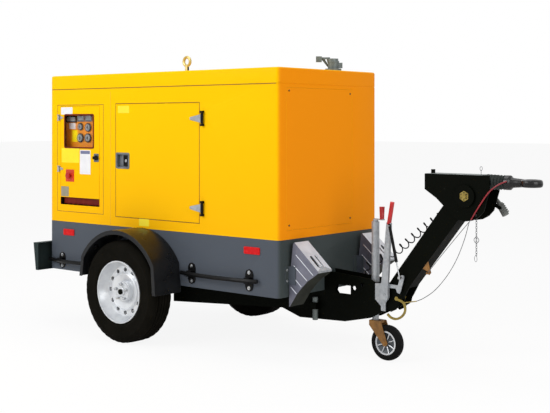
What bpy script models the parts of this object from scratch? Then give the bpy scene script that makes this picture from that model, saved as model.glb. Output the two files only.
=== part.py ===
"""Towable diesel generator on a two-wheel chassis with a height-adjustable drawbar.

Metres, +Z up. The sizes below are measured from the front face of the enclosure (X = 0, +X towards
the towing eye), the middle of the machine (Y = 0) and the ground (Z = 0). ROW_SHIFT then moves
everything so that the origin lies under the middle of the machine.
"""

import math

import bmesh
import bpy
from mathutils import Matrix, Vector

# Clearances
GAP = 0.0003
DOOR_GAP = 0.002

# Enclosure
CANOPY_LENGTH = 2.084
CANOPY_WIDTH = 0.991
CORNER_RADIUS = 0.028
SHEET = 0.003
SKID_BOTTOM = 0.376
SKID_HEIGHT = 0.335
WALL_HEIGHT = 0.9105
SEAM_HEIGHT = 0.0055
ROOF_HEIGHT = 0.093
ROOF_EDGE_RADIUS = 0.012
SEAT_WIDTH = 0.018
SKID_SHEET = 0.005
RAIL_OFFSET = 0.25
RAIL_WIDTH = 0.06
RAIL_HEIGHT = 0.218
RAIL_SHEET = 0.008

# Service doors, measured from the front face
DOOR_FRONT = 0.638
DOOR_LENGTH = 0.760
DOOR_BOTTOM = 0.777
DOOR_HEIGHT = 0.740
DOOR_SHEET = 0.0025
DOOR_DEPTH = 0.022
HINGE_SETBACK = 0.035
HINGE_STANDOFF = 0.012
HINGE_RADIUS = 0.009
HINGE_BARREL = 0.066
HINGE_LUG = 0.0135
HINGE_HEIGHTS = (0.868, 1.421)
LEAF_LENGTH = 0.112
LATCH_CENTRE = (0.0665, 0.368)
LATCH_SIZE = (0.112, 0.088)
LATCH_DEPTH = 0.018

# Control section, measured from the rear face
CONTROL_REAR = 0.116
CONTROL_LENGTH = 0.403
CONTROL_BOTTOM = 0.831
CABLE_SLOT_HEIGHT = 0.050
CONTROL_TOP = 1.507
CONTROL_DOOR_DEPTH = 0.016
CONTROL_HINGE_SETBACK = 0.014
CONTROL_HINGE_STANDOFF = 0.010
CONTROL_HINGE_RADIUS = 0.007
CONTROL_HINGE_BARREL = 0.030
CONTROL_HINGE_LUG = 0.006
CONTROL_HINGE_HEIGHTS = (1.075, 1.4295)
WINDOW_INSET = (0.044, 0.344, 0.300, 0.223)
PANE_LIP = 0.010
CABINET_DEPTH = 0.222
CABINET_MARGIN = 0.015
PANEL_SETBACK = 0.055
STOP_CENTRE = (0.100, 0.1495)
STOP_PLATE = (0.086, 0.083)
STOP_RADIUS = 0.020
STOP_TRAVEL = 0.008
LOCK_CENTRE = (0.375, 0.277)

# Running gear
TYRE_RADIUS = 0.325
TYRE_WIDTH = 0.185
TYRE_SIDES = 32
RIM_RADIUS = 0.198
RIM_WIDTH = 0.170
STUB_RADIUS = 0.0175
WHEEL_SETBACK = 1.151
TYRE_CLEARANCE = 0.027
AXLE_LEAD = 0.160
AXLE_SIZE = 0.070
ARM_THICKNESS = 0.020
GUARD_RADIUS = 0.393
GUARD_LIP = 0.028
GUARD_OVERHANG = 0.012

# Rear light bar
LIGHT_BAR_HALF = 0.600
LIGHT_BAR_BOTTOM = 0.370
LIGHT_BAR_HEIGHT = 0.190
LIGHT_BAR_TOP_DEPTH = 0.0527
LIGHT_BAR_BOTTOM_DEPTH = 0.0277

# Roof fittings
EYE_SETBACK = 1.229
EYE_TOP = 1.854
EYE_RING = 0.030
EYE_WIRE = 0.010
EXHAUST_X = -0.090
EXHAUST_Y = 0.150
EXHAUST_RADIUS = 0.034
EXHAUST_TOP = 1.783
CAP_TURN = math.radians(39.87)

# Engine set, measured from the front face
ENGINE_FRONT = 0.730
ENGINE_LENGTH = 0.546
ALTERNATOR_LENGTH = 0.560
CRANK_Z = 0.90
FAN_SHAFT = 0.016

# Drawbar
NOSE_INNER = 0.052
NOSE_PLATE = 0.008
LOWER_PIVOT = (0.518, 0.376)
ARM_LENGTH = 0.765
ARM_ANGLE = math.radians(53.4)
ARM_UPPER = 0.0915
ARM_UPPER_TOP = 0.082
ARM_LOWER = -0.034
ARM_LOWER_WAIST = -0.024
ARM_LOWER_TOP = -0.040
ARM_HALF_WIDTH = 0.050
ARM_CHEEK = 0.008
PIVOT_BOLT = 0.012
HOUSING_TOP_LIFT = 0.117
SHAFT_LIFT = 0.080
SHAFT_RADIUS = 0.025
SHAFT_TRAVEL = 0.090
BELLOWS_LENGTH = 0.1187
BELLOWS_RADIUS = 0.043
EYE_REACH = 0.429
TOW_RING_OUTER = 0.060
TOW_RING_INNER = 0.0275
TOW_RING_THICK = 0.042

# Parking brake, on the near side of the nose
BRAKE_PIVOT = (0.458, 0.398)
BRACKET_SHEET = 0.006
LEVER_WIDTH = 0.0164
LEVER_TILT = math.radians(5.2)
LEVER_LENGTH = 0.452
GRIP_LENGTH = 0.122
STRUT_TOP = (0.497, 0.800)
STRUT_END = (0.565, 0.505)
STRUT_RADIUS = 0.009
STRUT_ROD = 0.004

# Jockey wheel
JOCKEY_X = 0.344
JOCKEY_Y = -0.012
JOCKEY_TUBE = 0.023
JOCKEY_WALL = 0.003
JOCKEY_TOP = 0.810
JOCKEY_TRAIL = 0.085
JOCKEY_WHEEL = 0.105
JOCKEY_WHEEL_WIDTH = 0.050
JOCKEY_SIDES = 24
FORK_SHEET = 0.006
CROWN_TOP = 0.230

# Cables and the lead of the lights, as (x, z) points in upright planes
CABLE_Y = -0.0665
LEAD_Y = 0.095
CURL_RADIUS = 0.028
LEAD_RADIUS = 0.005
CABLE_RADIUS = 0.002
SHEATH_RADIUS = 0.004
CURL_ROUTE = ((0.200, 0.490), (0.240, 0.545), (0.432, 0.638), (0.530, 0.716), (0.636, 0.798), (0.760, 0.878), (0.846, 0.920))
TAIL_ROUTE = ((0.880, 0.937), (0.930, 0.968), (0.985, 1.000), (1.030, 1.011), (1.064, 0.999), (1.084, 0.972))
LEAD_GLAND_TOP = 0.470
PLUG_LENGTH = 0.104
PLUG_RADIUS = 0.020
SHEATH_ROUTE = ((1.224, 1.080), (1.176, 1.058), (1.124, 1.018), (1.068, 0.944), (1.014, 0.862))
STEEL_ROUTE = ((1.0138, 0.8617), (0.940, 0.780), (0.838, 0.664), (0.7392, 0.548))
SLACK_ROUTE = ((1.006, 0.850), (0.975, 0.748), (0.928, 0.640), (0.868, 0.544), (0.790, 0.456), (0.718, 0.404))

# Chocks and support leg
CHOCK_Y = 0.341
CHOCK_WIDTH = 0.130
CHOCK_BOTTOM = 0.319
CHOCK_LENGTH = 0.378
LEG_X = -0.055
LEG_RADIUS = 0.017
LEG_BOTTOM = 0.191
LEG_LENGTH = 0.139

# What follows from them
SIDE = CANOPY_WIDTH / 2
REAR = -CANOPY_LENGTH
SKID_TOP = SKID_BOTTOM + SKID_HEIGHT
WALL_BOTTOM = SKID_TOP + GAP
WALL_TOP = SKID_TOP + WALL_HEIGHT
LID_BOTTOM = WALL_TOP + SEAM_HEIGHT
ROOF_TOP = LID_BOTTOM + ROOF_HEIGHT
RAIL_TOP = SKID_BOTTOM + 0.006 + RAIL_HEIGHT
WHEEL_X = -WHEEL_SETBACK
WHEEL_Z = TYRE_RADIUS * math.cos(math.pi / TYRE_SIDES)
TYRE_MIDDLE = SIDE + TYRE_CLEARANCE + TYRE_WIDTH / 2
AXLE_X = WHEEL_X + AXLE_LEAD
AXLE_Z = SKID_BOTTOM - GAP - AXLE_SIZE / 2
LIGHT_BAR_FRONT = REAR - GAP
OVERALL_REAR = LIGHT_BAR_FRONT - LIGHT_BAR_TOP_DEPTH
UPPER_PIVOT = (
    LOWER_PIVOT[0] + ARM_LENGTH * math.cos(ARM_ANGLE),
    LOWER_PIVOT[1] + ARM_LENGTH * math.sin(ARM_ANGLE),
)
SHAFT_Z = UPPER_PIVOT[1] + SHAFT_LIFT
EYE_COLLAR = (UPPER_PIVOT[0] + 0.245, SHAFT_Z)
HANDLE_Y = -ARM_HALF_WIDTH - 0.0058
HANDLE_TIP = (LOWER_PIVOT[0] + 0.138, LOWER_PIVOT[1])
EYE_TIP = UPPER_PIVOT[0] + EYE_REACH
ROW_SHIFT = -(OVERALL_REAR + EYE_TIP) / 2
JOCKEY_AXLE_Z = JOCKEY_WHEEL * math.cos(math.pi / JOCKEY_SIDES)

YELLOW = ((0.91, 0.42, 0.01), 0.0, 0.35)
GREY = ((0.085, 0.095, 0.115), 0.0, 0.5)
BLACK = ((0.012, 0.013, 0.012), 0.0, 0.35)
RUBBER = ((0.02, 0.02, 0.02), 0.0, 0.8)
ZINC = ((0.55, 0.57, 0.58), 0.9, 0.4)
SILVER = ((0.62, 0.64, 0.66), 0.8, 0.35)
GOLD_ZINC = ((0.42, 0.30, 0.12), 0.9, 0.4)
RED = ((0.7, 0.02, 0.02), 0.0, 0.4)
ORANGE = ((0.9, 0.25, 0.02), 0.0, 0.5)
PLUG_GREY = ((0.3, 0.31, 0.32), 0.0, 0.5)
PANE = ((0.8, 0.85, 0.85), 0.0, 0.05)

for old_object in list(bpy.data.objects):
    bpy.data.objects.remove(old_object, do_unlink=True)


def new_collection(name):
    made = bpy.data.collections.new(name)
    bpy.context.scene.collection.children.link(made)
    return made


PARTS = new_collection("towable_diesel_generator")
CUTTERS = new_collection("cutters")
ROW = bpy.data.objects.new("row_frame", None)
ROW.location = (ROW_SHIFT, 0, 0)
PARTS.objects.link(ROW)


# Shapes. Each starts as a hidden helper; part() turns one into a named piece.


def helper(data):
    made = bpy.data.objects.new("helper", data)
    CUTTERS.objects.link(made)
    made.parent = ROW
    made.hide_render = True
    made.display_type = "WIRE"
    return made


def mesh_helper(shape):
    bmesh.ops.recalc_face_normals(shape, faces=shape.faces)
    mesh = bpy.data.meshes.new("helper")
    shape.to_mesh(mesh)
    shape.free()
    return helper(mesh)


def box(xs, ys, zs):
    """A box between two values on each axis, in any order."""
    low = Vector(map(min, (xs, ys, zs)))
    high = Vector(map(max, (xs, ys, zs)))
    shape = bmesh.new()
    bmesh.ops.create_cube(shape, size=1)
    matrix = Matrix.LocRotScale((low + high) / 2, None, high - low)
    bmesh.ops.transform(shape, matrix=matrix, verts=shape.verts)
    return mesh_helper(shape)


def rod(start, end, radius, sides=16, end_radius=None, turn=0.0):
    """A cylinder or cone from one point to another."""
    start, end = Vector(start), Vector(end)
    shape = bmesh.new()
    bmesh.ops.create_cone(
        shape,
        cap_ends=True,
        segments=sides,
        radius1=radius,
        radius2=radius if end_radius is None else end_radius,
        depth=(end - start).length,
    )
    aim = (end - start).to_track_quat("Z", "Y").to_matrix().to_4x4()
    matrix = Matrix.Translation((start + end) / 2) @ aim @ Matrix.Rotation(turn, 4, "Z")
    bmesh.ops.transform(shape, matrix=matrix, verts=shape.verts)
    return mesh_helper(shape)


def bore(radius, sides=16):
    """The radius of a hole in which a round pin of this radius and number of sides can turn."""
    return (radius + GAP) / math.cos(math.pi / sides)


def from_curve(curve, matrix):
    """The mesh of a curve, with its caps welded on."""
    guide = bpy.data.objects.new("guide", curve)
    mesh = bpy.data.meshes.new_from_object(guide)
    bpy.data.objects.remove(guide)
    mesh.transform(matrix)
    shape = bmesh.new()
    shape.from_mesh(mesh)
    bmesh.ops.remove_doubles(shape, verts=shape.verts, dist=0.000001)
    return mesh_helper(shape)


def plane_matrix(plane, middle):
    """Puts a flat outline's first and second coordinate on the two axes that plane names."""
    if plane == "XZ":
        return Matrix.Translation((0, middle, 0)) @ Matrix.Rotation(math.pi / 2, 4, "X")
    if plane == "YZ":
        turn = Matrix(((0, 0, 1, 0), (1, 0, 0, 0), (0, 1, 0, 0), (0, 0, 0, 1)))
        return Matrix.Translation((middle, 0, 0)) @ turn
    return Matrix.Translation((0, 0, middle))


def plate(outline, plane, low, high, holes=()):
    """A flat outline, with holes, as thick as from low to high on the third axis."""
    curve = bpy.data.curves.new("plate", "CURVE")
    curve.dimensions = "2D"
    curve.fill_mode = "BOTH"
    curve.extrude = abs(high - low) / 2
    for points in (outline, *holes):
        spline = curve.splines.new("POLY")
        spline.points.add(len(points) - 1)
        spline.use_cyclic_u = True
        for point, (across, up) in zip(spline.points, points):
            point.co = (across, up, 0, 1)
    return from_curve(curve, plane_matrix(plane, (low + high) / 2))


def wire(points, radius, resolution=2):
    """A round bar or tube through the points, with its ends filled."""
    curve = bpy.data.curves.new("wire", "CURVE")
    curve.dimensions = "3D"
    curve.bevel_depth = radius
    curve.bevel_resolution = resolution
    curve.use_fill_caps = True
    spline = curve.splines.new("POLY")
    spline.points.add(len(points) - 1)
    for point, place in zip(spline.points, points):
        point.co = (*place, 1)
    return from_curve(curve, Matrix.Identity(4))


def turned(profile, steps, matrix):
    """A closed profile of (radius, height) points, turned about the local Z axis."""
    area = sum(a[0] * b[1] - b[0] * a[1] for a, b in zip(profile, profile[1:] + profile[:1]))
    points = profile if area < 0 else profile[::-1]
    mesh = bpy.data.meshes.new("profile")
    loop = [(i, (i + 1) % len(points)) for i in range(len(points))]
    mesh.from_pydata([(radius, 0, height) for radius, height in points], loop, [])
    made = helper(mesh)
    made.matrix_basis = matrix
    screw = made.modifiers.new("turn", "SCREW")
    screw.steps = steps
    screw.render_steps = steps
    screw.use_merge_vertices = True
    screw.merge_threshold = 0.00001
    return made


def arc(centre, radius, start, end, steps):
    """Points on an arc, angles in degrees."""
    angles = [math.radians(start + (end - start) * i / steps) for i in range(steps + 1)]
    return [(centre[0] + radius * math.cos(a), centre[1] + radius * math.sin(a)) for a in angles]


def circle(centre, radius, sides=12):
    return arc(centre, radius, 0, 360 - 360 / sides, sides - 1)


def rounded(xs, ys, radius, steps=2):
    """A rectangle with round corners."""
    x0, x1, y0, y1 = min(xs) + radius, max(xs) - radius, min(ys) + radius, max(ys) - radius
    corners = (((x1, y0), -90), ((x1, y1), 0), ((x0, y1), 90), ((x0, y0), 180))
    return [point for centre, start in corners for point in arc(centre, radius, start, start + 90, steps)]


def round_top(obj, width, segments=3):
    """Rounds the upper outer edge of an upright plate."""
    shape = bmesh.new()
    shape.from_mesh(obj.data)
    top = max(vert.co.z for vert in shape.verts)
    upper = [e for e in shape.edges if all(abs(v.co.z - top) < 0.00001 for v in e.verts)]
    rim = [e for e in upper if any(abs(f.normal.z) < 0.5 for f in e.link_faces)]
    bmesh.ops.bevel(shape, geom=rim, offset=width, segments=segments, affect="EDGES", profile=0.5)
    shape.to_mesh(obj.data)
    shape.free()
    return obj


def smooth_path(points, steps):
    """Points on a smooth curve through the given ones."""
    knots = [Vector(point) for point in points]
    knots = [knots[0] * 2 - knots[1], *knots, knots[-1] * 2 - knots[-2]]
    found = []
    for a, b, c, d in zip(knots, knots[1:], knots[2:], knots[3:]):
        for t in (i / steps for i in range(steps)):
            found.append(
                0.5 * (2 * b + (c - a) * t + (2 * a - 5 * b + 4 * c - d) * t**2 + (3 * b - a - 3 * c + d) * t**3)
            )
    return [*found, knots[-2]]


def boolean(obj, other, operation):
    modifier = obj.modifiers.new(operation.lower(), "BOOLEAN")
    modifier.operation = operation
    modifier.solver = "EXACT"
    modifier.object = other


def paint(obj, finish):
    colour, metallic, roughness = finish
    made = bpy.data.materials.new(obj.name)
    made.use_nodes = True
    shader = made.node_tree.nodes["Principled BSDF"]
    shader.inputs["Base Color"].default_value = (*colour, 1)
    shader.inputs["Metallic"].default_value = metallic
    shader.inputs["Roughness"].default_value = roughness
    obj.data.materials.clear()
    obj.data.materials.append(made)


def part(name, finish, base, add=(), cut=(), then_add=(), pivot=None):
    """Turns a helper into a named piece, with others joined to it and cut out of it."""
    base.name = name
    CUTTERS.objects.unlink(base)
    PARTS.objects.link(base)
    base.hide_render = False
    base.display_type = "TEXTURED"
    for other in add:
        boolean(base, other, "UNION")
    for other in cut:
        boolean(base, other, "DIFFERENCE")
    for other in then_add:
        boolean(base, other, "UNION")
    if pivot is not None:
        base.data.transform(Matrix.Translation(-Vector(pivot)))
        base.location = pivot
    paint(base, finish)
    return base


def on_side(side, name):
    return f"{name}_{'near' if side < 0 else 'far'}"


# Enclosure


def body_outline(inset):
    return rounded((REAR + inset, -inset), (-SIDE + inset, SIDE - inset), CORNER_RADIUS - inset, 3)


def hinge_lugs(x, standoff, radius, barrel, lug, heights, side):
    """The two fixed knuckles of each hinge, above and below the turning one."""
    found = []
    for height in heights:
        for end in (-1, 1):
            inner = height + end * (barrel / 2 + GAP)
            ys = (side * (SIDE - 0.001), side * (SIDE + standoff + radius))
            found.append(box((x - radius, x + radius), ys, (inner, inner + end * lug)))
    return found


def hinge_leaf(x, standoff, radius, barrel, height, reach, side, edge):
    """The turning knuckle, its leaf on the door and the pad that the leaf stands on."""
    away = 1 if reach > 0 else -1
    y = side * (SIDE + standoff)
    knuckle = rod((x, y, height - barrel / 2), (x, y, height + barrel / 2), radius, 12)
    skin = side * (SIDE + GAP)
    outer = side * (SIDE + standoff - radius + 0.001)
    root, tip = barrel * 0.45, barrel * 0.12
    outline = [(x, height - root), (x + reach, height - tip), (x + reach, height + tip), (x, height + root)]
    leaf = plate(outline, "XZ", skin, outer)
    pad = box((edge + away * 0.008, x + reach - away * 0.01), (side * (SIDE - 0.001), outer), (height - tip, height + tip))
    return [knuckle, leaf, pad]


DOOR_XS = (-DOOR_FRONT - DOOR_LENGTH, -DOOR_FRONT)
DOOR_ZS = (DOOR_BOTTOM, DOOR_BOTTOM + DOOR_HEIGHT)
DOOR_HINGE_X = -DOOR_FRONT + HINGE_SETBACK
CONTROL_XS = (REAR + CONTROL_REAR, REAR + CONTROL_REAR + CONTROL_LENGTH)
CONTROL_ZS = (CONTROL_BOTTOM + CABLE_SLOT_HEIGHT, CONTROL_TOP)
CONTROL_HINGE_X = CONTROL_XS[0] - CONTROL_HINGE_SETBACK
FRONT_PANEL_YS = (-SIDE + 0.071, SIDE - 0.266)
END_PANEL_ZS = (SKID_TOP + 0.053, WALL_TOP - 0.020)
REAR_PANEL_YS = (-SIDE + 0.095, SIDE - 0.095)


def grown(pair, margin):
    return (min(pair) - margin, max(pair) + margin)


def canopy_body():
    walls = plate(body_outline(0), "XY", WALL_BOTTOM, WALL_TOP)
    inside = plate(body_outline(SHEET), "XY", WALL_BOTTOM - 0.01, WALL_TOP + 0.01)
    seat = plate(
        body_outline(0.002), "XY", WALL_TOP - 0.020, LID_BOTTOM - GAP, holes=[body_outline(0.002 + SEAT_WIDTH)]
    )
    cuts = []
    knuckles = []
    for side in (-1, 1):
        through = (side * (SIDE - 0.02), side * (SIDE + 0.02))
        cuts.append(box(grown(DOOR_XS, DOOR_GAP), through, grown(DOOR_ZS, DOOR_GAP)))
        knuckles += hinge_lugs(
            DOOR_HINGE_X, HINGE_STANDOFF, HINGE_RADIUS, HINGE_BARREL, HINGE_LUG, HINGE_HEIGHTS, side
        )
    through = (-SIDE + 0.02, -SIDE - 0.02)
    cuts.append(box(grown(CONTROL_XS, DOOR_GAP), through, (CONTROL_BOTTOM - DOOR_GAP, CONTROL_TOP + DOOR_GAP)))
    cuts.append(box((-0.02, 0.02), FRONT_PANEL_YS, END_PANEL_ZS))
    cuts.append(box((REAR - 0.02, REAR + 0.02), REAR_PANEL_YS, END_PANEL_ZS))
    knuckles += hinge_lugs(
        CONTROL_HINGE_X,
        CONTROL_HINGE_STANDOFF,
        CONTROL_HINGE_RADIUS,
        CONTROL_HINGE_BARREL,
        CONTROL_HINGE_LUG,
        CONTROL_HINGE_HEIGHTS,
        -1,
    )
    part("canopy_body", YELLOW, walls, cut=[inside, *cuts], then_add=[seat, *knuckles])


def roof_lid():
    lid = round_top(plate(body_outline(0), "XY", LID_BOTTOM, ROOF_TOP), ROOF_EDGE_RADIUS)
    inside = plate(body_outline(SHEET), "XY", LID_BOTTOM - 0.02, ROOF_TOP - SHEET)
    round_top(inside, ROOF_EDGE_RADIUS - SHEET)
    eye_hole = rod((-EYE_SETBACK, 0, ROOF_TOP - 0.02), (-EYE_SETBACK, 0, ROOF_TOP + 0.02), 0.018)
    pipe = (EXHAUST_X, EXHAUST_Y)
    pipe_hole = rod((*pipe, ROOF_TOP - 0.02), (*pipe, ROOF_TOP + 0.02), EXHAUST_RADIUS + 0.008)
    part("roof_lid", YELLOW, lid, cut=[inside, eye_hole, pipe_hole])


def end_panels():
    front = box((-SHEET, 0), grown(FRONT_PANEL_YS, -0.0005), grown(END_PANEL_ZS, -0.0005))
    part("front_end_panel", YELLOW, front)
    rear = box((REAR, REAR + SHEET), grown(REAR_PANEL_YS, -0.0005), grown(END_PANEL_ZS, -0.0005))
    slots = []
    for row in range(8):
        height = END_PANEL_ZS[0] + 0.12 + row * 0.085
        slots.append(box((REAR - 0.01, REAR + 0.01), grown(REAR_PANEL_YS, -0.10), (height, height + 0.014)))
    part("rear_end_panel", YELLOW, rear, cut=slots)


def pan(xs, zs, side, depth):
    """A door's folded sheet: its skin is flush with the wall. Returns it and its inside."""
    skin = box(xs, (side * SIDE, side * (SIDE - depth)), zs)
    inner = side * (SIDE - DOOR_SHEET)
    inside = box(grown(xs, -DOOR_SHEET), (inner, side * (SIDE - depth - 0.01)), grown(zs, -DOOR_SHEET))
    return skin, inside


def service_door(side):
    skin, inside = pan(DOOR_XS, DOOR_ZS, side, DOOR_DEPTH)
    x, z = DOOR_XS[0] + LATCH_CENTRE[0], DOOR_BOTTOM + LATCH_CENTRE[1]
    xs = (x - LATCH_SIZE[0] / 2, x + LATCH_SIZE[0] / 2)
    zs = (z - LATCH_SIZE[1] / 2, z + LATCH_SIZE[1] / 2)
    cup = box(xs, (side * (SIDE - 0.0005), side * (SIDE - LATCH_DEPTH - 0.002)), zs)
    cup_inside = box(grown(xs, -0.002), (side * (SIDE + 0.01), side * (SIDE - LATCH_DEPTH)), grown(zs, -0.002))
    leaves = []
    for height in HINGE_HEIGHTS:
        leaves += hinge_leaf(
            DOOR_HINGE_X, HINGE_STANDOFF, HINGE_RADIUS, HINGE_BARREL, height, -LEAF_LENGTH, side, DOOR_XS[1]
        )
    pivot = (DOOR_HINGE_X, side * (SIDE + HINGE_STANDOFF), z)
    door = part(on_side(side, "service_door"), YELLOW, skin, cut=[inside], pivot=pivot)
    for other in (cup, *leaves):
        boolean(door, other, "UNION")
    boolean(door, cup_inside, "DIFFERENCE")

    turn_radius = 0.004
    wall = xs[1] - 0.002
    pin_x = wall - GAP - turn_radius
    y = side * (SIDE - 0.004)
    paddle = box((pin_x - 0.045, pin_x), (y - 0.003, y + 0.003), grown(zs, -0.008))
    pin = rod((pin_x, y, zs[0] + 0.008), (pin_x, y, zs[1] - 0.008), turn_radius, 8, turn=math.pi / 8)
    part(on_side(side, "latch_paddle"), BLACK, paddle, add=[pin], pivot=(pin_x, y, z))


def control_door():
    skin, inside = pan(CONTROL_XS, CONTROL_ZS, -1, CONTROL_DOOR_DEPTH)
    left, bottom, width, height = WINDOW_INSET
    window_xs = (CONTROL_XS[0] + left, CONTROL_XS[0] + left + width)
    window_zs = (CONTROL_ZS[0] + bottom, CONTROL_ZS[0] + bottom + height)
    window = plate(rounded(window_xs, window_zs, 0.012), "XZ", -SIDE - 0.01, -SIDE + 0.01)
    stop_x, stop_z = CONTROL_XS[0] + STOP_CENTRE[0], CONTROL_ZS[0] + STOP_CENTRE[1]
    stop_xs = (stop_x - STOP_PLATE[0] / 2, stop_x + STOP_PLATE[0] / 2)
    stop_zs = (stop_z - STOP_PLATE[1] / 2, stop_z + STOP_PLATE[1] / 2)
    stop_plate = box(stop_xs, (-SIDE - 0.003, -SIDE + 0.001), stop_zs)
    stem = 0.008
    stem_hole = rod((stop_x, -SIDE - 0.01, stop_z), (stop_x, -SIDE + 0.01, stop_z), bore(stem, 12), 12)
    lock_x, lock_z = CONTROL_XS[0] + LOCK_CENTRE[0], CONTROL_ZS[0] + LOCK_CENTRE[1]
    spindle = 0.006
    lock_hole = rod((lock_x, -SIDE - 0.01, lock_z), (lock_x, -SIDE + 0.01, lock_z), bore(spindle, 12), 12)
    leaves = []
    for height in CONTROL_HINGE_HEIGHTS:
        leaves += hinge_leaf(
            CONTROL_HINGE_X,
            CONTROL_HINGE_STANDOFF,
            CONTROL_HINGE_RADIUS,
            CONTROL_HINGE_BARREL,
            height,
            CONTROL_HINGE_SETBACK + 0.028,
            -1,
            CONTROL_XS[0],
        )
    hinge = (CONTROL_HINGE_X, -SIDE - CONTROL_HINGE_STANDOFF, stop_z)
    cuts = [window, stem_hole, lock_hole]
    door = part("control_door", YELLOW, skin, cut=[inside], then_add=[stop_plate, *leaves], pivot=hinge)
    for other in cuts:
        boolean(door, other, "DIFFERENCE")

    pane_y = -SIDE + DOOR_SHEET + GAP
    pane = box(grown(window_xs, PANE_LIP), (pane_y, pane_y + 0.003), grown(window_zs, PANE_LIP))
    part("control_window", PANE, pane)

    face = -SIDE - 0.003
    head = rod((stop_x, face - STOP_TRAVEL - 0.004, stop_z), (stop_x, face - 0.024, stop_z), STOP_RADIUS, 20)
    button = rod((stop_x, face + 0.012, stop_z), (stop_x, face - 0.020, stop_z), stem, 12)
    part("emergency_stop", RED, head, add=[button], pivot=(stop_x, face, stop_z))

    front = -SIDE - GAP
    disc = rod((lock_x, front, lock_z), (lock_x, front - 0.008, lock_z), 0.017, 16)
    key_bar = box((lock_x - 0.026, lock_x + 0.024), (front - 0.007, front - 0.014), (lock_z - 0.010, lock_z + 0.010))
    stub = rod((lock_x, front - 0.004, lock_z), (lock_x, -SIDE + 0.010, lock_z), spindle, 12)
    part("control_door_lock", BLACK, disc, add=[key_bar, stub], pivot=(lock_x, front, lock_z))


def control_cabinet():
    front = -SIDE + SHEET + GAP
    back = front + CABINET_DEPTH
    xs = grown(CONTROL_XS, CABINET_MARGIN)
    zs = (CONTROL_BOTTOM - CABINET_MARGIN, CONTROL_TOP + CABINET_MARGIN)
    shell = box(xs, (front, back), zs)
    inner_xs = grown(xs, -DOOR_SHEET)
    inner_zs = grown(zs, -DOOR_SHEET)
    inside = box(inner_xs, (front - 0.01, back - DOOR_SHEET), inner_zs)
    part("control_cabinet", BLACK, shell, cut=[inside])
    panel_y = front + PANEL_SETBACK
    panel_zs = (CONTROL_ZS[0] + WINDOW_INSET[1] - 0.040, inner_zs[1] - GAP)
    panel = box(grown(inner_xs, -GAP), (panel_y, panel_y + SHEET), panel_zs)
    part("instrument_panel", ORANGE, panel)


# Skid


def tie_down_bar(xs, brackets, height, half_height, side):
    """A bent bar on two bracket plates, bowing away from the skid's side."""
    wall = side * (SIDE - 0.001)
    found = []
    for x in brackets:
        outline = rounded((x - 0.030, x + 0.030), (height - half_height, height + half_height), 0.028)
        found.append(plate(outline, "XZ", wall, side * (SIDE + 0.006)))
        found.append(box((x - 0.016, x + 0.016), (wall, side * (SIDE + 0.036)), (height - 0.018, height + 0.018)))
    middle = sum(xs) / 2
    depths = ((xs[0], 0.016), (brackets[0], 0.036), (middle, 0.054), (brackets[1], 0.036), (xs[1], 0.016))
    route = [(x, side * (SIDE + depth), height) for x, depth in depths]
    found.append(wire(smooth_path(route, 2), 0.0135, 1))
    return found


def chock_holder(side):
    """Two cheeks that a chock drops between, each with a bolted flange."""
    found = []
    middle = side * CHOCK_Y
    zs = (SKID_BOTTOM + 0.075, SKID_BOTTOM + 0.180)
    for end in (-1, 1):
        cheek = middle + end * (CHOCK_WIDTH / 2 + GAP)
        found.append(box((-0.001, 0.055), (cheek, cheek + end * 0.004), zs))
        found.append(box((-0.001, 0.004), (cheek, cheek + end * 0.034), zs))
    return found


def skid_base():
    walls = plate(body_outline(0), "XY", SKID_BOTTOM, SKID_TOP)
    inside = plate(body_outline(SKID_SHEET), "XY", SKID_BOTTOM + 0.006, SKID_TOP + 0.01)
    extras = []
    for side in (-1, 1):
        rail = side * RAIL_OFFSET
        xs = (REAR + 0.134, -0.050)
        web_ys = (rail - RAIL_SHEET / 2, rail + RAIL_SHEET / 2)
        extras.append(box(xs, web_ys, (SKID_BOTTOM + 0.003, RAIL_TOP - 0.001)))
        extras.append(box(xs, (rail - RAIL_WIDTH / 2, rail + RAIL_WIDTH / 2), (RAIL_TOP - RAIL_SHEET, RAIL_TOP)))
        extras += tie_down_bar((-0.775, -0.150), (-0.697, -0.224), SKID_BOTTOM + 0.0865, 0.0655, side)
        rear_brackets = (REAR + 0.139, REAR + 0.440)
        extras += tie_down_bar(
            (REAR + 0.020, REAR + 0.490), rear_brackets, SKID_BOTTOM + 0.067, 0.055, side
        )
        extras += chock_holder(side)
    part("skid_base", GREY, walls, cut=[inside], then_add=extras)


def rear_light_bar():
    front, bottom = LIGHT_BAR_FRONT, LIGHT_BAR_BOTTOM
    top = bottom + LIGHT_BAR_HEIGHT
    outer = [
        (front, bottom),
        (front, top),
        (front - LIGHT_BAR_TOP_DEPTH, top),
        (front - LIGHT_BAR_BOTTOM_DEPTH, bottom),
    ]
    wall = 0.003
    inner = [
        (front + 0.01, bottom + wall),
        (front + 0.01, top - wall),
        (front - LIGHT_BAR_TOP_DEPTH + wall, top - wall),
        (front - LIGHT_BAR_BOTTOM_DEPTH + wall, bottom + wall),
    ]
    bar = plate(outer, "XZ", -LIGHT_BAR_HALF, LIGHT_BAR_HALF)
    hollow = plate(inner, "XZ", -LIGHT_BAR_HALF + wall, LIGHT_BAR_HALF - wall)
    part("rear_light_bar", GREY, bar, cut=[hollow])


# Inside


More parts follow.
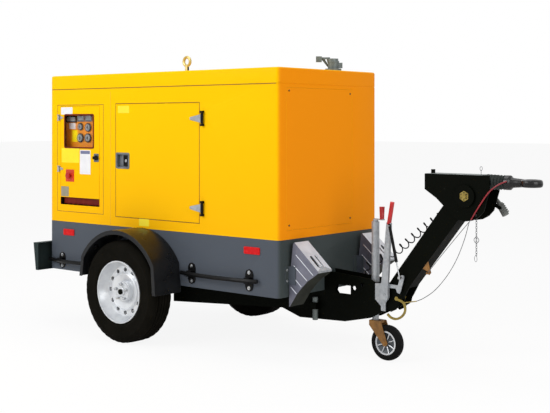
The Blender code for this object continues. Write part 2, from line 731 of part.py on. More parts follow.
def lifting_frame():
    xs = (-EYE_SETBACK - 0.025, -EYE_SETBACK + 0.025)
    beam_top = WALL_TOP - 0.025
    beam = box(xs, (-RAIL_OFFSET - 0.025, RAIL_OFFSET + 0.025), (beam_top - 0.05, beam_top))
    extras = []
    for side in (-1, 1):
        rail = side * RAIL_OFFSET
        extras.append(box(grown(xs, -0.014), (rail - 0.025, rail + 0.025), (RAIL_TOP + GAP, beam_top - 0.01)))
    x = -EYE_SETBACK
    ring_z = EYE_TOP - EYE_RING - EYE_WIRE
    extras.append(rod((x, 0, beam_top - 0.01), (x, 0, ring_z - EYE_RING), 0.014, 12))
    extras.append(rod((x, 0, ROOF_TOP + GAP), (x, 0, ROOF_TOP + 0.012), 0.027, 16))
    circle_points = circle((EYE_RING, 0), EYE_WIRE, 8)
    stand = Matrix.Translation((x, 0, ring_z)) @ Matrix.Rotation(math.pi / 2, 4, "X")
    extras.append(turned(circle_points, 20, stand))
    part("lifting_frame", BLACK, beam, add=extras)


def engine():
    front, back = -ENGINE_FRONT, -ENGINE_FRONT - ENGINE_LENGTH
    block = box((back, front), (-0.20, 0.20), (0.66, 1.12))
    head = box((back + 0.026, front - 0.03), (-0.14, 0.14), (1.11, 1.28))
    sump = box((back + 0.076, front - 0.08), (-0.16, 0.16), (RAIL_TOP + 0.004, 0.67))
    shaft = rod((front - 0.01, 0, CRANK_Z), (front + 0.085, 0, CRANK_Z), FAN_SHAFT, 12)
    extras = [head, sump, shaft]
    ys = RAIL_OFFSET + RAIL_WIDTH / 2
    for x in (back + 0.176, front - 0.06):
        extras.append(box((x - 0.04, x + 0.04), (-ys, ys), (RAIL_TOP + GAP, 0.70)))
    crankcase = box((back + 0.026, front - 0.026), (-0.174, 0.174), (0.65, 1.09))
    drain = rod((back + 0.15, 0, 0.55), (back + 0.15, 0, 0.70), 0.012, 8)
    part("engine", GREY, block, add=extras, cut=[crankcase, drain])


def alternator():
    front = -ENGINE_FRONT - ENGINE_LENGTH - GAP
    back = front - ALTERNATOR_LENGTH
    barrel = rod((front, 0, CRANK_Z), (back, 0, CRANK_Z), 0.21, 24)
    winding_room = rod((front - 0.06, 0, CRANK_Z), (back - 0.01, 0, CRANK_Z), 0.175, 24)
    feet = []
    ys = RAIL_OFFSET + RAIL_WIDTH / 2
    for x in (front - 0.04, back + 0.09):
        feet.append(box((x - 0.030, x + 0.030), (-ys, ys), (RAIL_TOP + GAP, 0.71)))
    part("alternator", GREY, barrel, add=feet, cut=[winding_room])


def radiator_and_fan():
    fan_back = -ENGINE_FRONT + 0.035
    core = box((fan_back + 0.085, fan_back + 0.135), (-0.33, 0.33), (RAIL_TOP + GAP, 1.25))
    part("radiator", BLACK, core)
    hub_xs = (fan_back, fan_back + 0.040)
    hub = rod((hub_xs[0], 0, CRANK_Z), (hub_xs[1], 0, CRANK_Z), 0.05, 16)
    hole = rod((hub_xs[0] - 0.01, 0, CRANK_Z), (hub_xs[1] + 0.01, 0, CRANK_Z), bore(FAN_SHAFT, 12), 12)
    blades = []
    for count in range(6):
        blade = box((-0.002, 0.002), (-0.045, 0.045), (0.035, 0.25))
        turn = Matrix.Rotation(count * math.pi / 3, 4, "X") @ Matrix.Rotation(math.radians(22), 4, "Z")
        blade.data.transform(Matrix.Translation((sum(hub_xs) / 2, 0, CRANK_Z)) @ turn)
        blades.append(blade)
    part("cooling_fan", BLACK, hub, add=blades, cut=[hole], pivot=(hub_xs[0], 0, CRANK_Z))


def tank_and_battery():
    floor = SKID_BOTTOM + 0.006 + GAP
    inner = RAIL_OFFSET - RAIL_WIDTH / 2 - GAP
    part("fuel_tank", BLACK, box((-1.68, -0.85), (-inner, inner), (floor, floor + 0.19)))
    part("battery", BLACK, box((-1.93, -1.73), (-inner, -inner + 0.27), (floor, floor + 0.20)))


def silencer():
    z = WALL_TOP - 0.20
    radius = 0.075
    can = rod((EXHAUST_X, -0.33, z), (EXHAUST_X, 0.30, z), radius, 24)
    room = rod((EXHAUST_X, -0.31, z), (EXHAUST_X, 0.31, z), radius - 0.004, 24)
    outlet = rod((EXHAUST_X, EXHAUST_Y, z + radius - 0.01), (EXHAUST_X, EXHAUST_Y, z + radius + 0.010), 0.045, 16)
    extras = [outlet]
    for side in (-1, 1):
        foot = (EXHAUST_X, side * RAIL_OFFSET)
        extras.append(rod((*foot, RAIL_TOP + GAP), (*foot, z - radius + 0.002), 0.012, 10))
    head_front = -ENGINE_FRONT - 0.03 + GAP
    route = [(head_front + 0.03, -0.09, 1.20), (head_front + 0.08, -0.09, 1.24), (head_front + 0.12, -0.09, 1.37)]
    route.append((head_front + 0.19, -0.09, z))
    pipe_end = (EXHAUST_X - radius + 0.002, -0.09, z)
    extras.append(wire([(head_front, -0.09, 1.20), *smooth_path(route, 2), pipe_end], 0.028, 2))
    part("silencer", ZINC, can, cut=[room], then_add=extras)


# Exhaust outlet with its counterweighted cap


def cap_turned(obj):
    """Turns a shape built along -X about the pipe, to where the cap's arm points."""
    spot = Matrix.Translation((EXHAUST_X, EXHAUST_Y, 0))
    obj.data.transform(spot @ Matrix.Rotation(CAP_TURN, 4, "Z"))
    return obj


CAP_PIVOT = (-0.066, 1.800)


def exhaust_outlet():
    z = WALL_TOP - 0.115 + GAP
    pipe = rod((EXHAUST_X, EXHAUST_Y, z), (EXHAUST_X, EXHAUST_Y, EXHAUST_TOP), EXHAUST_RADIUS, 18)
    hollow = rod((EXHAUST_X, EXHAUST_Y, z - 0.01), (EXHAUST_X, EXHAUST_Y, EXHAUST_TOP + 0.01), EXHAUST_RADIUS - SHEET, 18)
    collar_zs = ((ROOF_TOP + GAP, ROOF_TOP + 0.014), (EXHAUST_TOP - 0.010, EXHAUST_TOP))
    collars = []
    for (low, high), radius in zip(collar_zs, (EXHAUST_RADIUS + 0.018, EXHAUST_RADIUS + 0.004)):
        collars.append(rod((EXHAUST_X, EXHAUST_Y, low), (EXHAUST_X, EXHAUST_Y, high), radius, 18))
    low = (-EXHAUST_RADIUS + 0.004, ROOF_TOP + 0.020)
    outline = [low, (low[0], low[1] + 0.020), (CAP_PIVOT[0] + 0.006, CAP_PIVOT[1] + 0.007)]
    outline += [(CAP_PIVOT[0] - 0.007, CAP_PIVOT[1] + 0.007), (CAP_PIVOT[0] - 0.007, CAP_PIVOT[1] - 0.007)]
    bracket = cap_turned(plate(outline, "XZ", 0.013, 0.017))
    pin = cap_turned(rod((CAP_PIVOT[0], 0.015, CAP_PIVOT[1]), (CAP_PIVOT[0], -0.012, CAP_PIVOT[1]), 0.003, 8))
    clamp = cap_turned(box((EXHAUST_RADIUS - 0.003, EXHAUST_RADIUS + 0.024), (-0.008, 0.008), (1.738, 1.772)))
    part("exhaust_outlet", BLACK, pipe, add=[*collars, bracket, pin, clamp], cut=[hollow])


def rain_cap():
    bottom = EXHAUST_TOP + GAP
    lid = rod((-0.004, 0, bottom), (-0.004, 0, bottom + 0.014), EXHAUST_RADIUS + 0.002, 24)
    arm = box((CAP_PIVOT[0] - 0.008, -0.02), (-0.008, 0.008), (CAP_PIVOT[1] - 0.006, CAP_PIVOT[1] + 0.006))
    weight_zs = (CAP_PIVOT[1] - 0.024, CAP_PIVOT[1] + 0.012)
    weight = box((CAP_PIVOT[0] - 0.042, CAP_PIVOT[0] - 0.006), (-0.012, 0.012), weight_zs)
    hole = rod((CAP_PIVOT[0], 0.03, CAP_PIVOT[1]), (CAP_PIVOT[0], -0.03, CAP_PIVOT[1]), bore(0.003, 8), 8)
    shapes = [cap_turned(obj) for obj in (lid, arm, weight, hole)]
    pivot = Matrix.Rotation(CAP_TURN, 4, "Z") @ Vector((CAP_PIVOT[0], 0, CAP_PIVOT[1]))
    pivot += Vector((EXHAUST_X, EXHAUST_Y, 0))
    part("rain_cap", BLACK, shapes[0], add=shapes[1:3], cut=shapes[3:], pivot=pivot)


# Running gear


def wheel_matrix(side):
    """Local +Z points out of the machine, and a flat of the tyre lies on the ground."""
    turn = Matrix.Rotation(-side * math.pi / 2, 4, "X")
    half_step = Matrix.Rotation(math.pi / TYRE_SIDES, 4, "Z")
    return Matrix.Translation((WHEEL_X, side * TYRE_MIDDLE, WHEEL_Z)) @ turn @ half_step


def tyre(side):
    half = TYRE_WIDTH / 2
    inner = RIM_RADIUS + 0.0005
    outer = TYRE_RADIUS
    profile = [(inner, half - 0.0105), (outer - 0.080, half), (outer - 0.034, half - 0.005)]
    profile += [(outer - 0.008, half - 0.021), (outer, half - 0.050)]
    profile += [(radius, -height) for radius, height in reversed(profile)]
    part(on_side(side, "tyre"), RUBBER, turned(profile, TYRE_SIDES, wheel_matrix(side)))


def wheel_rim(side):
    half = RIM_WIDTH / 2
    disc = 0.022
    hole = bore(STUB_RADIUS, TYRE_SIDES)
    profile = [
        (hole, disc + 0.030),
        (0.060, disc + 0.030),
        (0.068, disc - 0.004),
        (0.110, disc + 0.014),
        (0.124, disc),
        (0.158, disc),
        (0.190, half - 0.010),
        (0.192, half),
        (RIM_RADIUS, half),
        (RIM_RADIUS, -half),
        (0.190, -half),
        (0.166, disc - 0.006),
        (0.064, disc - 0.016),
        (hole, disc - 0.016),
    ]
    rim = turned(profile, TYRE_SIDES, wheel_matrix(side))
    holes = []
    for count in range(12):
        angle = math.radians(30 * count)
        x, z = WHEEL_X + 0.137 * math.cos(angle), WHEEL_Z + 0.137 * math.sin(angle)
        middle = side * (TYRE_MIDDLE + disc)
        holes.append(rod((x, middle - 0.03, z), (x, middle + 0.03, z), 0.0085, 6))
    part(on_side(side, "wheel_rim"), SILVER, rim, cut=holes)


def suspension_arm(side):
    inner = SIDE + 0.004
    low, high = side * inner, side * (inner + ARM_THICKNESS)
    outline = [*arc((AXLE_X, AXLE_Z), 0.034, -80, 90, 6), *arc((WHEEL_X, WHEEL_Z), 0.030, 90, 275, 6)]
    blade = plate(outline, "XZ", low, high)
    hub_end = side * (TYRE_MIDDLE + 0.070)
    stub = rod((WHEEL_X, low, WHEEL_Z), (WHEEL_X, hub_end, WHEEL_Z), STUB_RADIUS, TYRE_SIDES)
    pin = rod((AXLE_X, high, AXLE_Z), (AXLE_X, side * (inner - 0.055), AXLE_Z), 0.025, 16)
    part(on_side(side, "suspension_arm"), BLACK, blade, add=[stub, pin], pivot=(AXLE_X, low, AXLE_Z))


def axle_tube():
    half = AXLE_SIZE / 2
    end = SIDE + 0.004 - GAP
    tube = box((AXLE_X - half, AXLE_X + half), (-end, end), (AXLE_Z - half, AXLE_Z + half))
    holes = []
    for side in (-1, 1):
        deep = side * (end - 0.060)
        holes.append(rod((AXLE_X, deep, AXLE_Z), (AXLE_X, side * (end + 0.01), AXLE_Z), bore(0.025), 16))
    part("axle_tube", BLACK, tube, cut=holes)


def guard_path(inset):
    """The mudguard's line about the wheel, from its rear end over the top to its front end."""
    centre = (WHEEL_X, WHEEL_Z)
    rear = (WHEEL_X - 0.352 + inset, WHEEL_Z + 0.075)
    front = (WHEEL_X + 0.358 - inset, WHEEL_Z + 0.012)
    return [rear, *arc(centre, GUARD_RADIUS - inset, 148, 30, 16), front]


def mudguard(side):
    inner = side * (SIDE + GAP)
    outer = side * (TYRE_MIDDLE + TYRE_WIDTH / 2 + GUARD_OVERHANG)
    band = plate(guard_path(0) + guard_path(GUARD_LIP)[::-1], "XZ", inner, outer)
    hollow_outline = guard_path(SHEET) + [(WHEEL_X + 0.35, WHEEL_Z - 0.1), (WHEEL_X - 0.35, WHEEL_Z - 0.1)]
    hollow = plate(hollow_outline, "XZ", inner + side * SHEET, outer - side * SHEET)
    part(on_side(side, "mudguard"), BLACK, band, cut=[hollow])


# Drawbar


def drawbar_nose():
    low_z = SKID_BOTTOM - GAP
    outline = [
        (GAP, 0.497),
        (GAP, low_z),
        (-0.450, low_z),
        (-0.450, 0.270),
        (-0.190, 0.189),
        (0.156, 0.203),
        (0.338, 0.244),
        (0.444, 0.297),
        (0.444, 0.423),
        (0.338, 0.474),
    ]
    windows = (
        [(0.077, 0.388), (0.092, 0.368), (0.197, 0.368), (0.197, 0.420), (0.092, 0.420)],
        [(0.014, 0.365), (0.028, 0.347), (0.197, 0.347), (0.197, 0.420), (0.028, 0.420)],
    )
    round_hole = circle((0.223, 0.409), 0.013, 10)
    square_hole = rounded((0.268, 0.294), (0.421, 0.447), 0.004, 1)
    outer = NOSE_INNER + NOSE_PLATE
    plates = []
    for side, window in zip((-1, 1), windows):
        holes = [window, round_hole, square_hole]
        plates.append(plate(outline, "XZ", side * NOSE_INNER, side * outer, holes=holes))
    tongue_outer = ARM_HALF_WIDTH - ARM_CHEEK - 0.0005
    tongue = [(0.386, 0.312), (0.505, 0.328), *arc(LOWER_PIVOT, 0.048, -70, 70, 6), (0.505, 0.424), (0.386, 0.438)]
    extras = [plates[1]]
    for side in (-1, 1):
        extras.append(plate(tongue, "XZ", side * tongue_outer, side * (tongue_outer - 0.010)))
    for z in (0.330, 0.420):
        extras.append(rod((0.401, -outer + 0.001, z), (0.401, outer - 0.001, z), 0.014, 12))
    extras.append(box((-0.30, 0.06), (-NOSE_INNER - 0.001, NOSE_INNER + 0.001), (0.225, 0.240)))
    rail_end = AXLE_X + AXLE_SIZE / 2 + GAP
    for side in (-1, 1):
        rail = [(0.0, side * 0.053), (-0.06, side * 0.059), (rail_end, side * 0.400), (rail_end, side * 0.340)]
        rail += [(-0.20, side * 0.053)]
        extras.append(plate(rail, "XY", 0.250, low_z))
    tube_half = NOSE_INNER + 0.001
    extras.append(box((JOCKEY_X - 0.035, JOCKEY_X + 0.035), (-tube_half, tube_half), (0.395, 0.455)))
    extras.append(box((LEG_X - 0.022, LEG_X + 0.022), (-outer + 0.001, -outer - 2 * LEG_RADIUS - 0.008), (0.258, 0.300)))
    tube_hole = rod((JOCKEY_X, JOCKEY_Y, 0.30), (JOCKEY_X, JOCKEY_Y, 0.50), JOCKEY_TUBE + GAP, 20)
    leg_y = -outer - LEG_RADIUS - 0.003
    leg_hole = rod((LEG_X, leg_y, 0.20), (LEG_X, leg_y, 0.35), LEG_RADIUS + GAP, 16)
    bolt_hole = rod((LOWER_PIVOT[0], -0.1, LOWER_PIVOT[1]), (LOWER_PIVOT[0], 0.1, LOWER_PIVOT[1]), bore(PIVOT_BOLT), 16)
    gland_x = CURL_ROUTE[0][0]
    extras.append(box((gland_x - 0.016, gland_x + 0.016), (outer - 0.001, LEAD_Y + 0.018), (0.436, LEAD_GLAND_TOP)))
    part("drawbar_nose", BLACK, plates[0], add=extras, cut=[tube_hole, leg_hole, bolt_hole])
    leg = rod((LEG_X, leg_y, LEG_BOTTOM), (LEG_X, leg_y, LEG_BOTTOM + LEG_LENGTH), LEG_RADIUS, 16)
    part("support_leg", ZINC, leg)


def along_arm(distance, depth):
    """A point of the arm: distance from the lower pivot along it, depth towards its upper edge."""
    x = LOWER_PIVOT[0] + distance * math.cos(ARM_ANGLE) - depth * math.sin(ARM_ANGLE)
    z = LOWER_PIVOT[1] + distance * math.sin(ARM_ANGLE) + depth * math.cos(ARM_ANGLE)
    return (x, z)


def arm_outline(inset, low, high):
    """The arm's side outline: its two edges, a round foot at the lower pivot and a round head at the upper one."""
    upper, upper_top = ARM_UPPER - inset, ARM_UPPER_TOP - inset
    lower, waist, lower_top = ARM_LOWER + inset, ARM_LOWER_WAIST + inset, ARM_LOWER_TOP + inset
    end = 0.048 - inset
    shoulder = ARM_LENGTH - 0.14
    degrees = math.degrees(ARM_ANGLE)
    found = [along_arm(shoulder, upper_top), along_arm(0.10, upper)]
    if low:
        found.append(along_arm(0, upper))
        found += arc(LOWER_PIVOT, upper, degrees + 105, degrees + 190, 5)
        found += [along_arm(-0.055, lower), along_arm(0.04, lower)]
    else:
        found += [along_arm(-0.2, upper), along_arm(-0.2, lower), along_arm(0.04, lower)]
    found += [along_arm(0.12, waist), along_arm(shoulder, lower_top)]
    if high:
        found += arc(UPPER_PIVOT, end, degrees - 70, degrees + 70, 8)
    else:
        found += [along_arm(ARM_LENGTH + 0.1, -end), along_arm(ARM_LENGTH + 0.1, end)]
    return found


def drawbar_arm():
    body = plate(arm_outline(0, True, True), "XZ", -ARM_HALF_WIDTH, ARM_HALF_WIDTH)
    inner = ARM_HALF_WIDTH - ARM_CHEEK
    hollow = plate(arm_outline(0.006, False, False), "XZ", -inner, inner)
    slot = plate(
        [along_arm(-0.2, 0.2), along_arm(-0.2, -0.2), along_arm(0.105, -0.2), along_arm(0.105, 0.2)], "XZ", -inner, inner
    )
    holes = []
    for x, z in (LOWER_PIVOT, UPPER_PIVOT):
        holes.append(rod((x, -0.1, z), (x, 0.1, z), bore(PIVOT_BOLT), 16))
    pivot = (LOWER_PIVOT[0], 0, LOWER_PIVOT[1])
    face = ARM_HALF_WIDTH
    foot = along_arm(ARM_LENGTH - 0.305, 0.020)
    strap_low, strap_high = 0.0735, 0.0775
    end = CURL_ROUTE[-1]
    run = (Vector(TAIL_ROUTE[0]) - Vector(end)).normalized()
    clip_start = Vector(end) + run * 4 * GAP
    clip_end = Vector(TAIL_ROUTE[0]) - run * 4 * GAP
    middle = (clip_start + clip_end) / 2
    extras = [rod((foot[0], face - 0.001, foot[1]), (foot[0], strap_high, foot[1]), 0.010, 12)]
    strap = strip([Vector(foot), Vector((0.886, 0.866)), Vector(middle)], 0.008)
    extras.append(plate(strap, "XZ", strap_low, strap_high))
    extras.append(rod((clip_start.x, LEAD_Y, clip_start.y), (clip_end.x, LEAD_Y, clip_end.y), 0.010, 12))
    extras.append(rod((middle.x, strap_low + 0.001, middle.y), (middle.x, LEAD_Y, middle.y), 0.007, 12))
    lug = [along_arm(0.255, ARM_LOWER_WAIST + 0.006), (0.722, 0.544), (0.735, 0.531), (0.748, 0.544)]
    lug.append(along_arm(0.325, ARM_LOWER_WAIST + 0.006))
    extras.append(plate(lug, "XZ", -face + 0.001, -face + 0.006))
    extras.append(rod((0.735, -face + 0.004, 0.543), (0.735, CABLE_Y - 0.006, 0.543), 0.006, 12))
    part("drawbar_arm", BLACK, body, add=extras, cut=[hollow, slot, *holes], pivot=pivot)


def strip(points, half):
    """The outline of a band along the points."""
    left, right = [], []
    for before, here, after in zip(points[:1] + points, points, points[1:] + points[-1:]):
        run = (after - before).normalized()
        left.append((here.x - run.y * half, here.y + run.x * half))
        right.append((here.x + run.y * half, here.y - run.x * half))
    return left + right[::-1]


def clamp_handle():
    x, z = LOWER_PIVOT
    y = HANDLE_Y
    bolt = rod((x, y, z), (x, ARM_HALF_WIDTH + 0.006, z), PIVOT_BOLT, 16)
    nut = rod((x, ARM_HALF_WIDTH + GAP, z), (x, ARM_HALF_WIDTH + 0.012, z), 0.022, 6)
    spots = ((-0.060, -0.095), (-0.035, -0.113), (0.002, -0.117), (0.040, -0.098), (0.062, -0.062))
    spots += ((0.051, -0.018), (0, 0))
    path = smooth_path([(x + a, z + b) for a, b in spots], 3)
    grip = plate(strip(path, 0.0065), "XZ", y - 0.004, y + 0.004)
    tail = wire([(x + 0.051, y, z - 0.018), (HANDLE_TIP[0], y, HANDLE_TIP[1])], 0.003)
    part("clamp_handle", GOLD_ZINC, bolt, add=[nut, grip, tail], pivot=(x, y, z))


def coupling_housing():
    x, z = UPPER_PIVOT
    top = z + HOUSING_TOP_LIFT
    outline = [(x - 0.261, top), (x - 0.261, top - 0.088), (x - 0.186, z - 0.018)]
    outline += [*arc((x, z), 0.140, 215, 325, 6), (x + 0.148, z + 0.029), (x + 0.148, top)]
    side_plates = []
    inner, outer = ARM_HALF_WIDTH + 0.002, ARM_HALF_WIDTH + 0.010
    for side in (-1, 1):
        side_plates.append(plate(outline, "XZ", side * inner, side * outer))
    shaft = SHAFT_Z
    block_end = x + 0.100
    extras = [side_plates[1], box((x - 0.261, block_end), (-outer, outer), (top - 0.008, top))]
    extras.append(box((x + 0.056, block_end), (-inner - 0.001, inner + 0.001), (shaft - 0.0445, top - 0.001)))
    extras.append(rod((x + 0.026, 0, shaft), (block_end, 0, shaft), 0.029, 20))
    for side in (-1, 1):
        extras.append(rod((x, side * (outer - 0.001), z), (x, side * (outer + 0.012), z), 0.0625, 24))
    extras.append(rod((x, -inner - 0.001, z), (x, inner + 0.001, z), PIVOT_BOLT, 16))
    shaft_hole = rod((x - 0.01, 0, shaft), (block_end + 0.01, 0, shaft), bore(SHAFT_RADIUS, 20), 20)
    knob = rod((x - 0.241, 0, top - 0.001), (x - 0.241, 0, top + 0.023), 0.012, 12)
    lead_end, before = Vector(TAIL_ROUTE[-1]), Vector(TAIL_ROUTE[-2])
    hold = lead_end + (lead_end - before).normalized() * 0.058
    extras.append(plate(strip([Vector((x + 0.090, z - 0.030)), hold], 0.010), "XZ", outer - 0.001, outer + 0.004))
    hold_end = LEAD_Y - PLUG_RADIUS - GAP
    extras.append(rod((hold.x, outer + 0.003, hold.y), (hold.x, hold_end, hold.y), 0.008, 12))
    part("coupling_housing", BLACK, side_plates[0], add=[*extras, knob], cut=[shaft_hole], pivot=(x, 0, z))


def overrun_gear():
    x = UPPER_PIVOT[0]
    boot_start = x + 0.100 + GAP
    boot_end = boot_start + BELLOWS_LENGTH
    centre = EYE_TIP - TOW_RING_OUTER
    shank_end = centre - TOW_RING_INNER - 0.006
    shaft = rod((x + 0.018, 0, SHAFT_Z), (boot_end + GAP, 0, SHAFT_Z), SHAFT_RADIUS, 20)
    part("overrun_shaft", ZINC, shaft)

    inner = bore(SHAFT_RADIUS, 20) + GAP
    folds = 5
    pitch = BELLOWS_LENGTH / folds
    profile = [(inner, 0)]
    for fold in range(folds):
        profile += [(BELLOWS_RADIUS - 0.012, fold * pitch), (BELLOWS_RADIUS, (fold + 0.5) * pitch)]
    profile += [(BELLOWS_RADIUS - 0.012, BELLOWS_LENGTH), (inner, BELLOWS_LENGTH)]
    aim = Matrix.Translation((boot_start, 0, SHAFT_Z)) @ Matrix.Rotation(math.pi / 2, 4, "Y")
    part("bellows", RUBBER, turned(profile, 16, aim))

    ring = rod((centre, 0, SHAFT_Z - TOW_RING_THICK / 2), (centre, 0, SHAFT_Z + TOW_RING_THICK / 2), TOW_RING_OUTER, 28)
    hole = rod((centre, 0, SHAFT_Z - 0.05), (centre, 0, SHAFT_Z + 0.05), TOW_RING_INNER, 20)
    start = boot_end + 2 * GAP
    collar = rod((start, 0, SHAFT_Z), (start + 0.030, 0, SHAFT_Z), 0.040, 20)
    shank = rod((start + 0.02, 0, SHAFT_Z), (shank_end, 0, SHAFT_Z), 0.027, 16, end_radius=0.024)
    part("towing_eye", BLACK, ring, add=[collar, shank], cut=[hole])


# Parking brake


def brake_gear():
    outer = NOSE_INNER + NOSE_PLATE
    face = -outer - GAP
    back = face - BRACKET_SHEET
    outline = [(0.378, 0.455), (0.378, 0.360), (0.418, 0.325), (0.420, 0.297), (0.449, 0.297), (0.451, 0.345)]
    outline += [(0.476, 0.385), (0.476, 0.436), (0.522, 0.436), (0.532, 0.412), (0.548, 0.408), (0.556, 0.424)]
    outline += [*arc(STRUT_END, 0.013, -20, 160, 6), (0.536, 0.456), (0.470, 0.458)]
    bracket = plate(outline, "XZ", back, face)
    x, z = BRAKE_PIVOT
    lever_low = back - GAP
    lever_high = lever_low - LEVER_WIDTH
    pin = rod((x, face, z), (x, lever_high - 0.004, z), 0.006, 12)
    anchor = rod((STRUT_END[0], face, STRUT_END[1]), (STRUT_END[0], lever_high - GAP, STRUT_END[1]), 0.004, 12)
    part("handbrake_bracket", ZINC, bracket, add=[pin, anchor])

    sin, cos = math.sin(LEVER_TILT), math.cos(LEVER_TILT)

    def on_lever(distance, across):
        foot = (0.441, 0.366)
        return (foot[0] + distance * sin + across * cos, foot[1] + distance * cos - across * sin)

    outline = [on_lever(0, -0.018), on_lever(LEVER_LENGTH, -0.014), on_lever(LEVER_LENGTH, 0.016), on_lever(0.06, 0.030)]
    outline += [on_lever(0.02, 0.036), on_lever(0, 0.030)]
    lever = plate(outline, "XZ", lever_high, lever_low)
    middle = (lever_low + lever_high) / 2
    grip_start = (on_lever(LEVER_LENGTH - 0.01, 0)[0], middle, on_lever(LEVER_LENGTH - 0.01, 0)[1])
    top_x, top_z = on_lever(LEVER_LENGTH + GRIP_LENGTH, 0.012)
    grip = wire([grip_start, (top_x, middle, top_z)], 0.013, 3)
    hole = rod((x, 0, z), (x, -0.2, z), bore(0.006, 12), 12)
    strut_y = lever_high - GAP - STRUT_RADIUS
    joint_pin = rod(
        (STRUT_TOP[0], middle, STRUT_TOP[1]), (STRUT_TOP[0], strut_y - STRUT_RADIUS, STRUT_TOP[1]), 0.004, 12
    )
    part("handbrake_lever", ZINC, lever, add=[grip, joint_pin], cut=[hole], pivot=(x, middle, z))

    top = Vector((STRUT_TOP[0], strut_y, STRUT_TOP[1]))
    end = Vector((STRUT_END[0], strut_y, STRUT_END[1]))
    run = (top - end).normalized()
    mouth = end + run * 0.0905
    cylinder = rod(mouth, top + run * 0.010, STRUT_RADIUS, 16)
    pin_hole = rod((top.x, 0, top.z), (top.x, -0.2, top.z), bore(0.004, 12), 12)
    rod_hole = rod(mouth - run * 0.01, top - run * 0.013, bore(STRUT_ROD, 12), 12)
    part("gas_strut_cylinder", BLACK, cylinder, cut=[pin_hole, rod_hole], pivot=tuple(top))
    ram = rod(end, end + run * 0.205, STRUT_ROD, 12)
    eye = rod((end.x, strut_y - 0.007, end.z), (end.x, lever_high - 2 * GAP, end.z), 0.009, 12)
    part("gas_strut_rod", ZINC, ram, add=[eye])


# Jockey wheel


def jockey():
    spot = (JOCKEY_X, JOCKEY_Y)
    leg_radius = JOCKEY_TUBE - JOCKEY_WALL - GAP
    tube = rod((*spot, 0.290), (*spot, JOCKEY_TOP), JOCKEY_TUBE, 20)
    hollow = rod((*spot, 0.28), (*spot, JOCKEY_TOP - 0.020), JOCKEY_TUBE - JOCKEY_WALL, 20)
    crank_hole = rod((*spot, JOCKEY_TOP - 0.05), (*spot, JOCKEY_TOP + 0.05), bore(0.007, 12), 12)
    part("jockey_outer_tube", ZINC, tube, cut=[hollow, crank_hole])

    leg = rod((*spot, CROWN_TOP + GAP), (*spot, 0.620), leg_radius, 20)
    swivel = 0.009
    stub = rod((*spot, CROWN_TOP - 0.018), (*spot, CROWN_TOP + 0.01), swivel, 16)
    part("jockey_inner_leg", ZINC, leg, add=[stub])

    shaft = rod((*spot, JOCKEY_TOP - 0.030), (*spot, JOCKEY_TOP + 0.018), 0.007, 12)
    crank = box((JOCKEY_X - 0.010, JOCKEY_X + 0.060), (JOCKEY_Y - 0.008, JOCKEY_Y + 0.008), (JOCKEY_TOP + 0.010, JOCKEY_TOP + 0.018))
    knob_spot = (JOCKEY_X + 0.046, JOCKEY_Y)
    knob = rod((*knob_spot, JOCKEY_TOP + 0.015), (*knob_spot, JOCKEY_TOP + 0.090), 0.013, 12, end_radius=0.016)
    washer = rod((*spot, JOCKEY_TOP + GAP), (*spot, JOCKEY_TOP + 0.012), 0.016, 12)
    part("jockey_crank", RED, crank, add=[shaft, knob, washer], pivot=(*spot, JOCKEY_TOP))

    axle = (JOCKEY_X + JOCKEY_TRAIL, JOCKEY_AXLE_Z)
    half = JOCKEY_WHEEL_WIDTH / 2 + 0.002
    outer = half + FORK_SHEET
    inner = half + FORK_SHEET / 2
    crown = box((JOCKEY_X - 0.023, JOCKEY_X + 0.050), (JOCKEY_Y - inner, JOCKEY_Y + inner), (CROWN_TOP - 0.014, CROWN_TOP))
    outline = [(JOCKEY_X - 0.024, CROWN_TOP), (JOCKEY_X - 0.024, CROWN_TOP - 0.030), (axle[0] - 0.018, axle[1] - 0.004)]
    outline += [*arc(axle, 0.018, 200, 360, 5), (JOCKEY_X + 0.056, CROWN_TOP)]
    extras = []
    for side in (-1, 1):
        extras.append(plate(outline, "XZ", JOCKEY_Y + side * half, JOCKEY_Y + side * outer))
    pin = 0.008
    ends = (JOCKEY_Y - outer - 0.006, JOCKEY_Y + outer + 0.006)
    extras.append(rod((axle[0], ends[0], axle[1]), (axle[0], ends[1], axle[1]), pin, 12))
    hole = rod((*spot, CROWN_TOP - 0.03), (*spot, CROWN_TOP + 0.02), bore(swivel), 16)
    part("jockey_fork", GOLD_ZINC, crown, add=extras, cut=[hole], pivot=(*spot, CROWN_TOP))

    wide = JOCKEY_WHEEL_WIDTH / 2
    radius = JOCKEY_WHEEL
    profile = [(bore(pin, 12), 0.024), (0.022, 0.024), (0.028, 0.011), (0.058, 0.011)]
    profile += [(radius - 0.034, wide), (radius - 0.006, wide), (radius, wide - 0.012)]
    profile += [(r, -h) for r, h in reversed(profile)]
    aim = Matrix.Translation((axle[0], JOCKEY_Y, axle[1])) @ Matrix.Rotation(math.pi / 2, 4, "X")
    aim = aim @ Matrix.Rotation(math.pi / JOCKEY_SIDES, 4, "Z")
    part("jockey_wheel", RUBBER, turned(profile, JOCKEY_SIDES, aim))


# Chocks


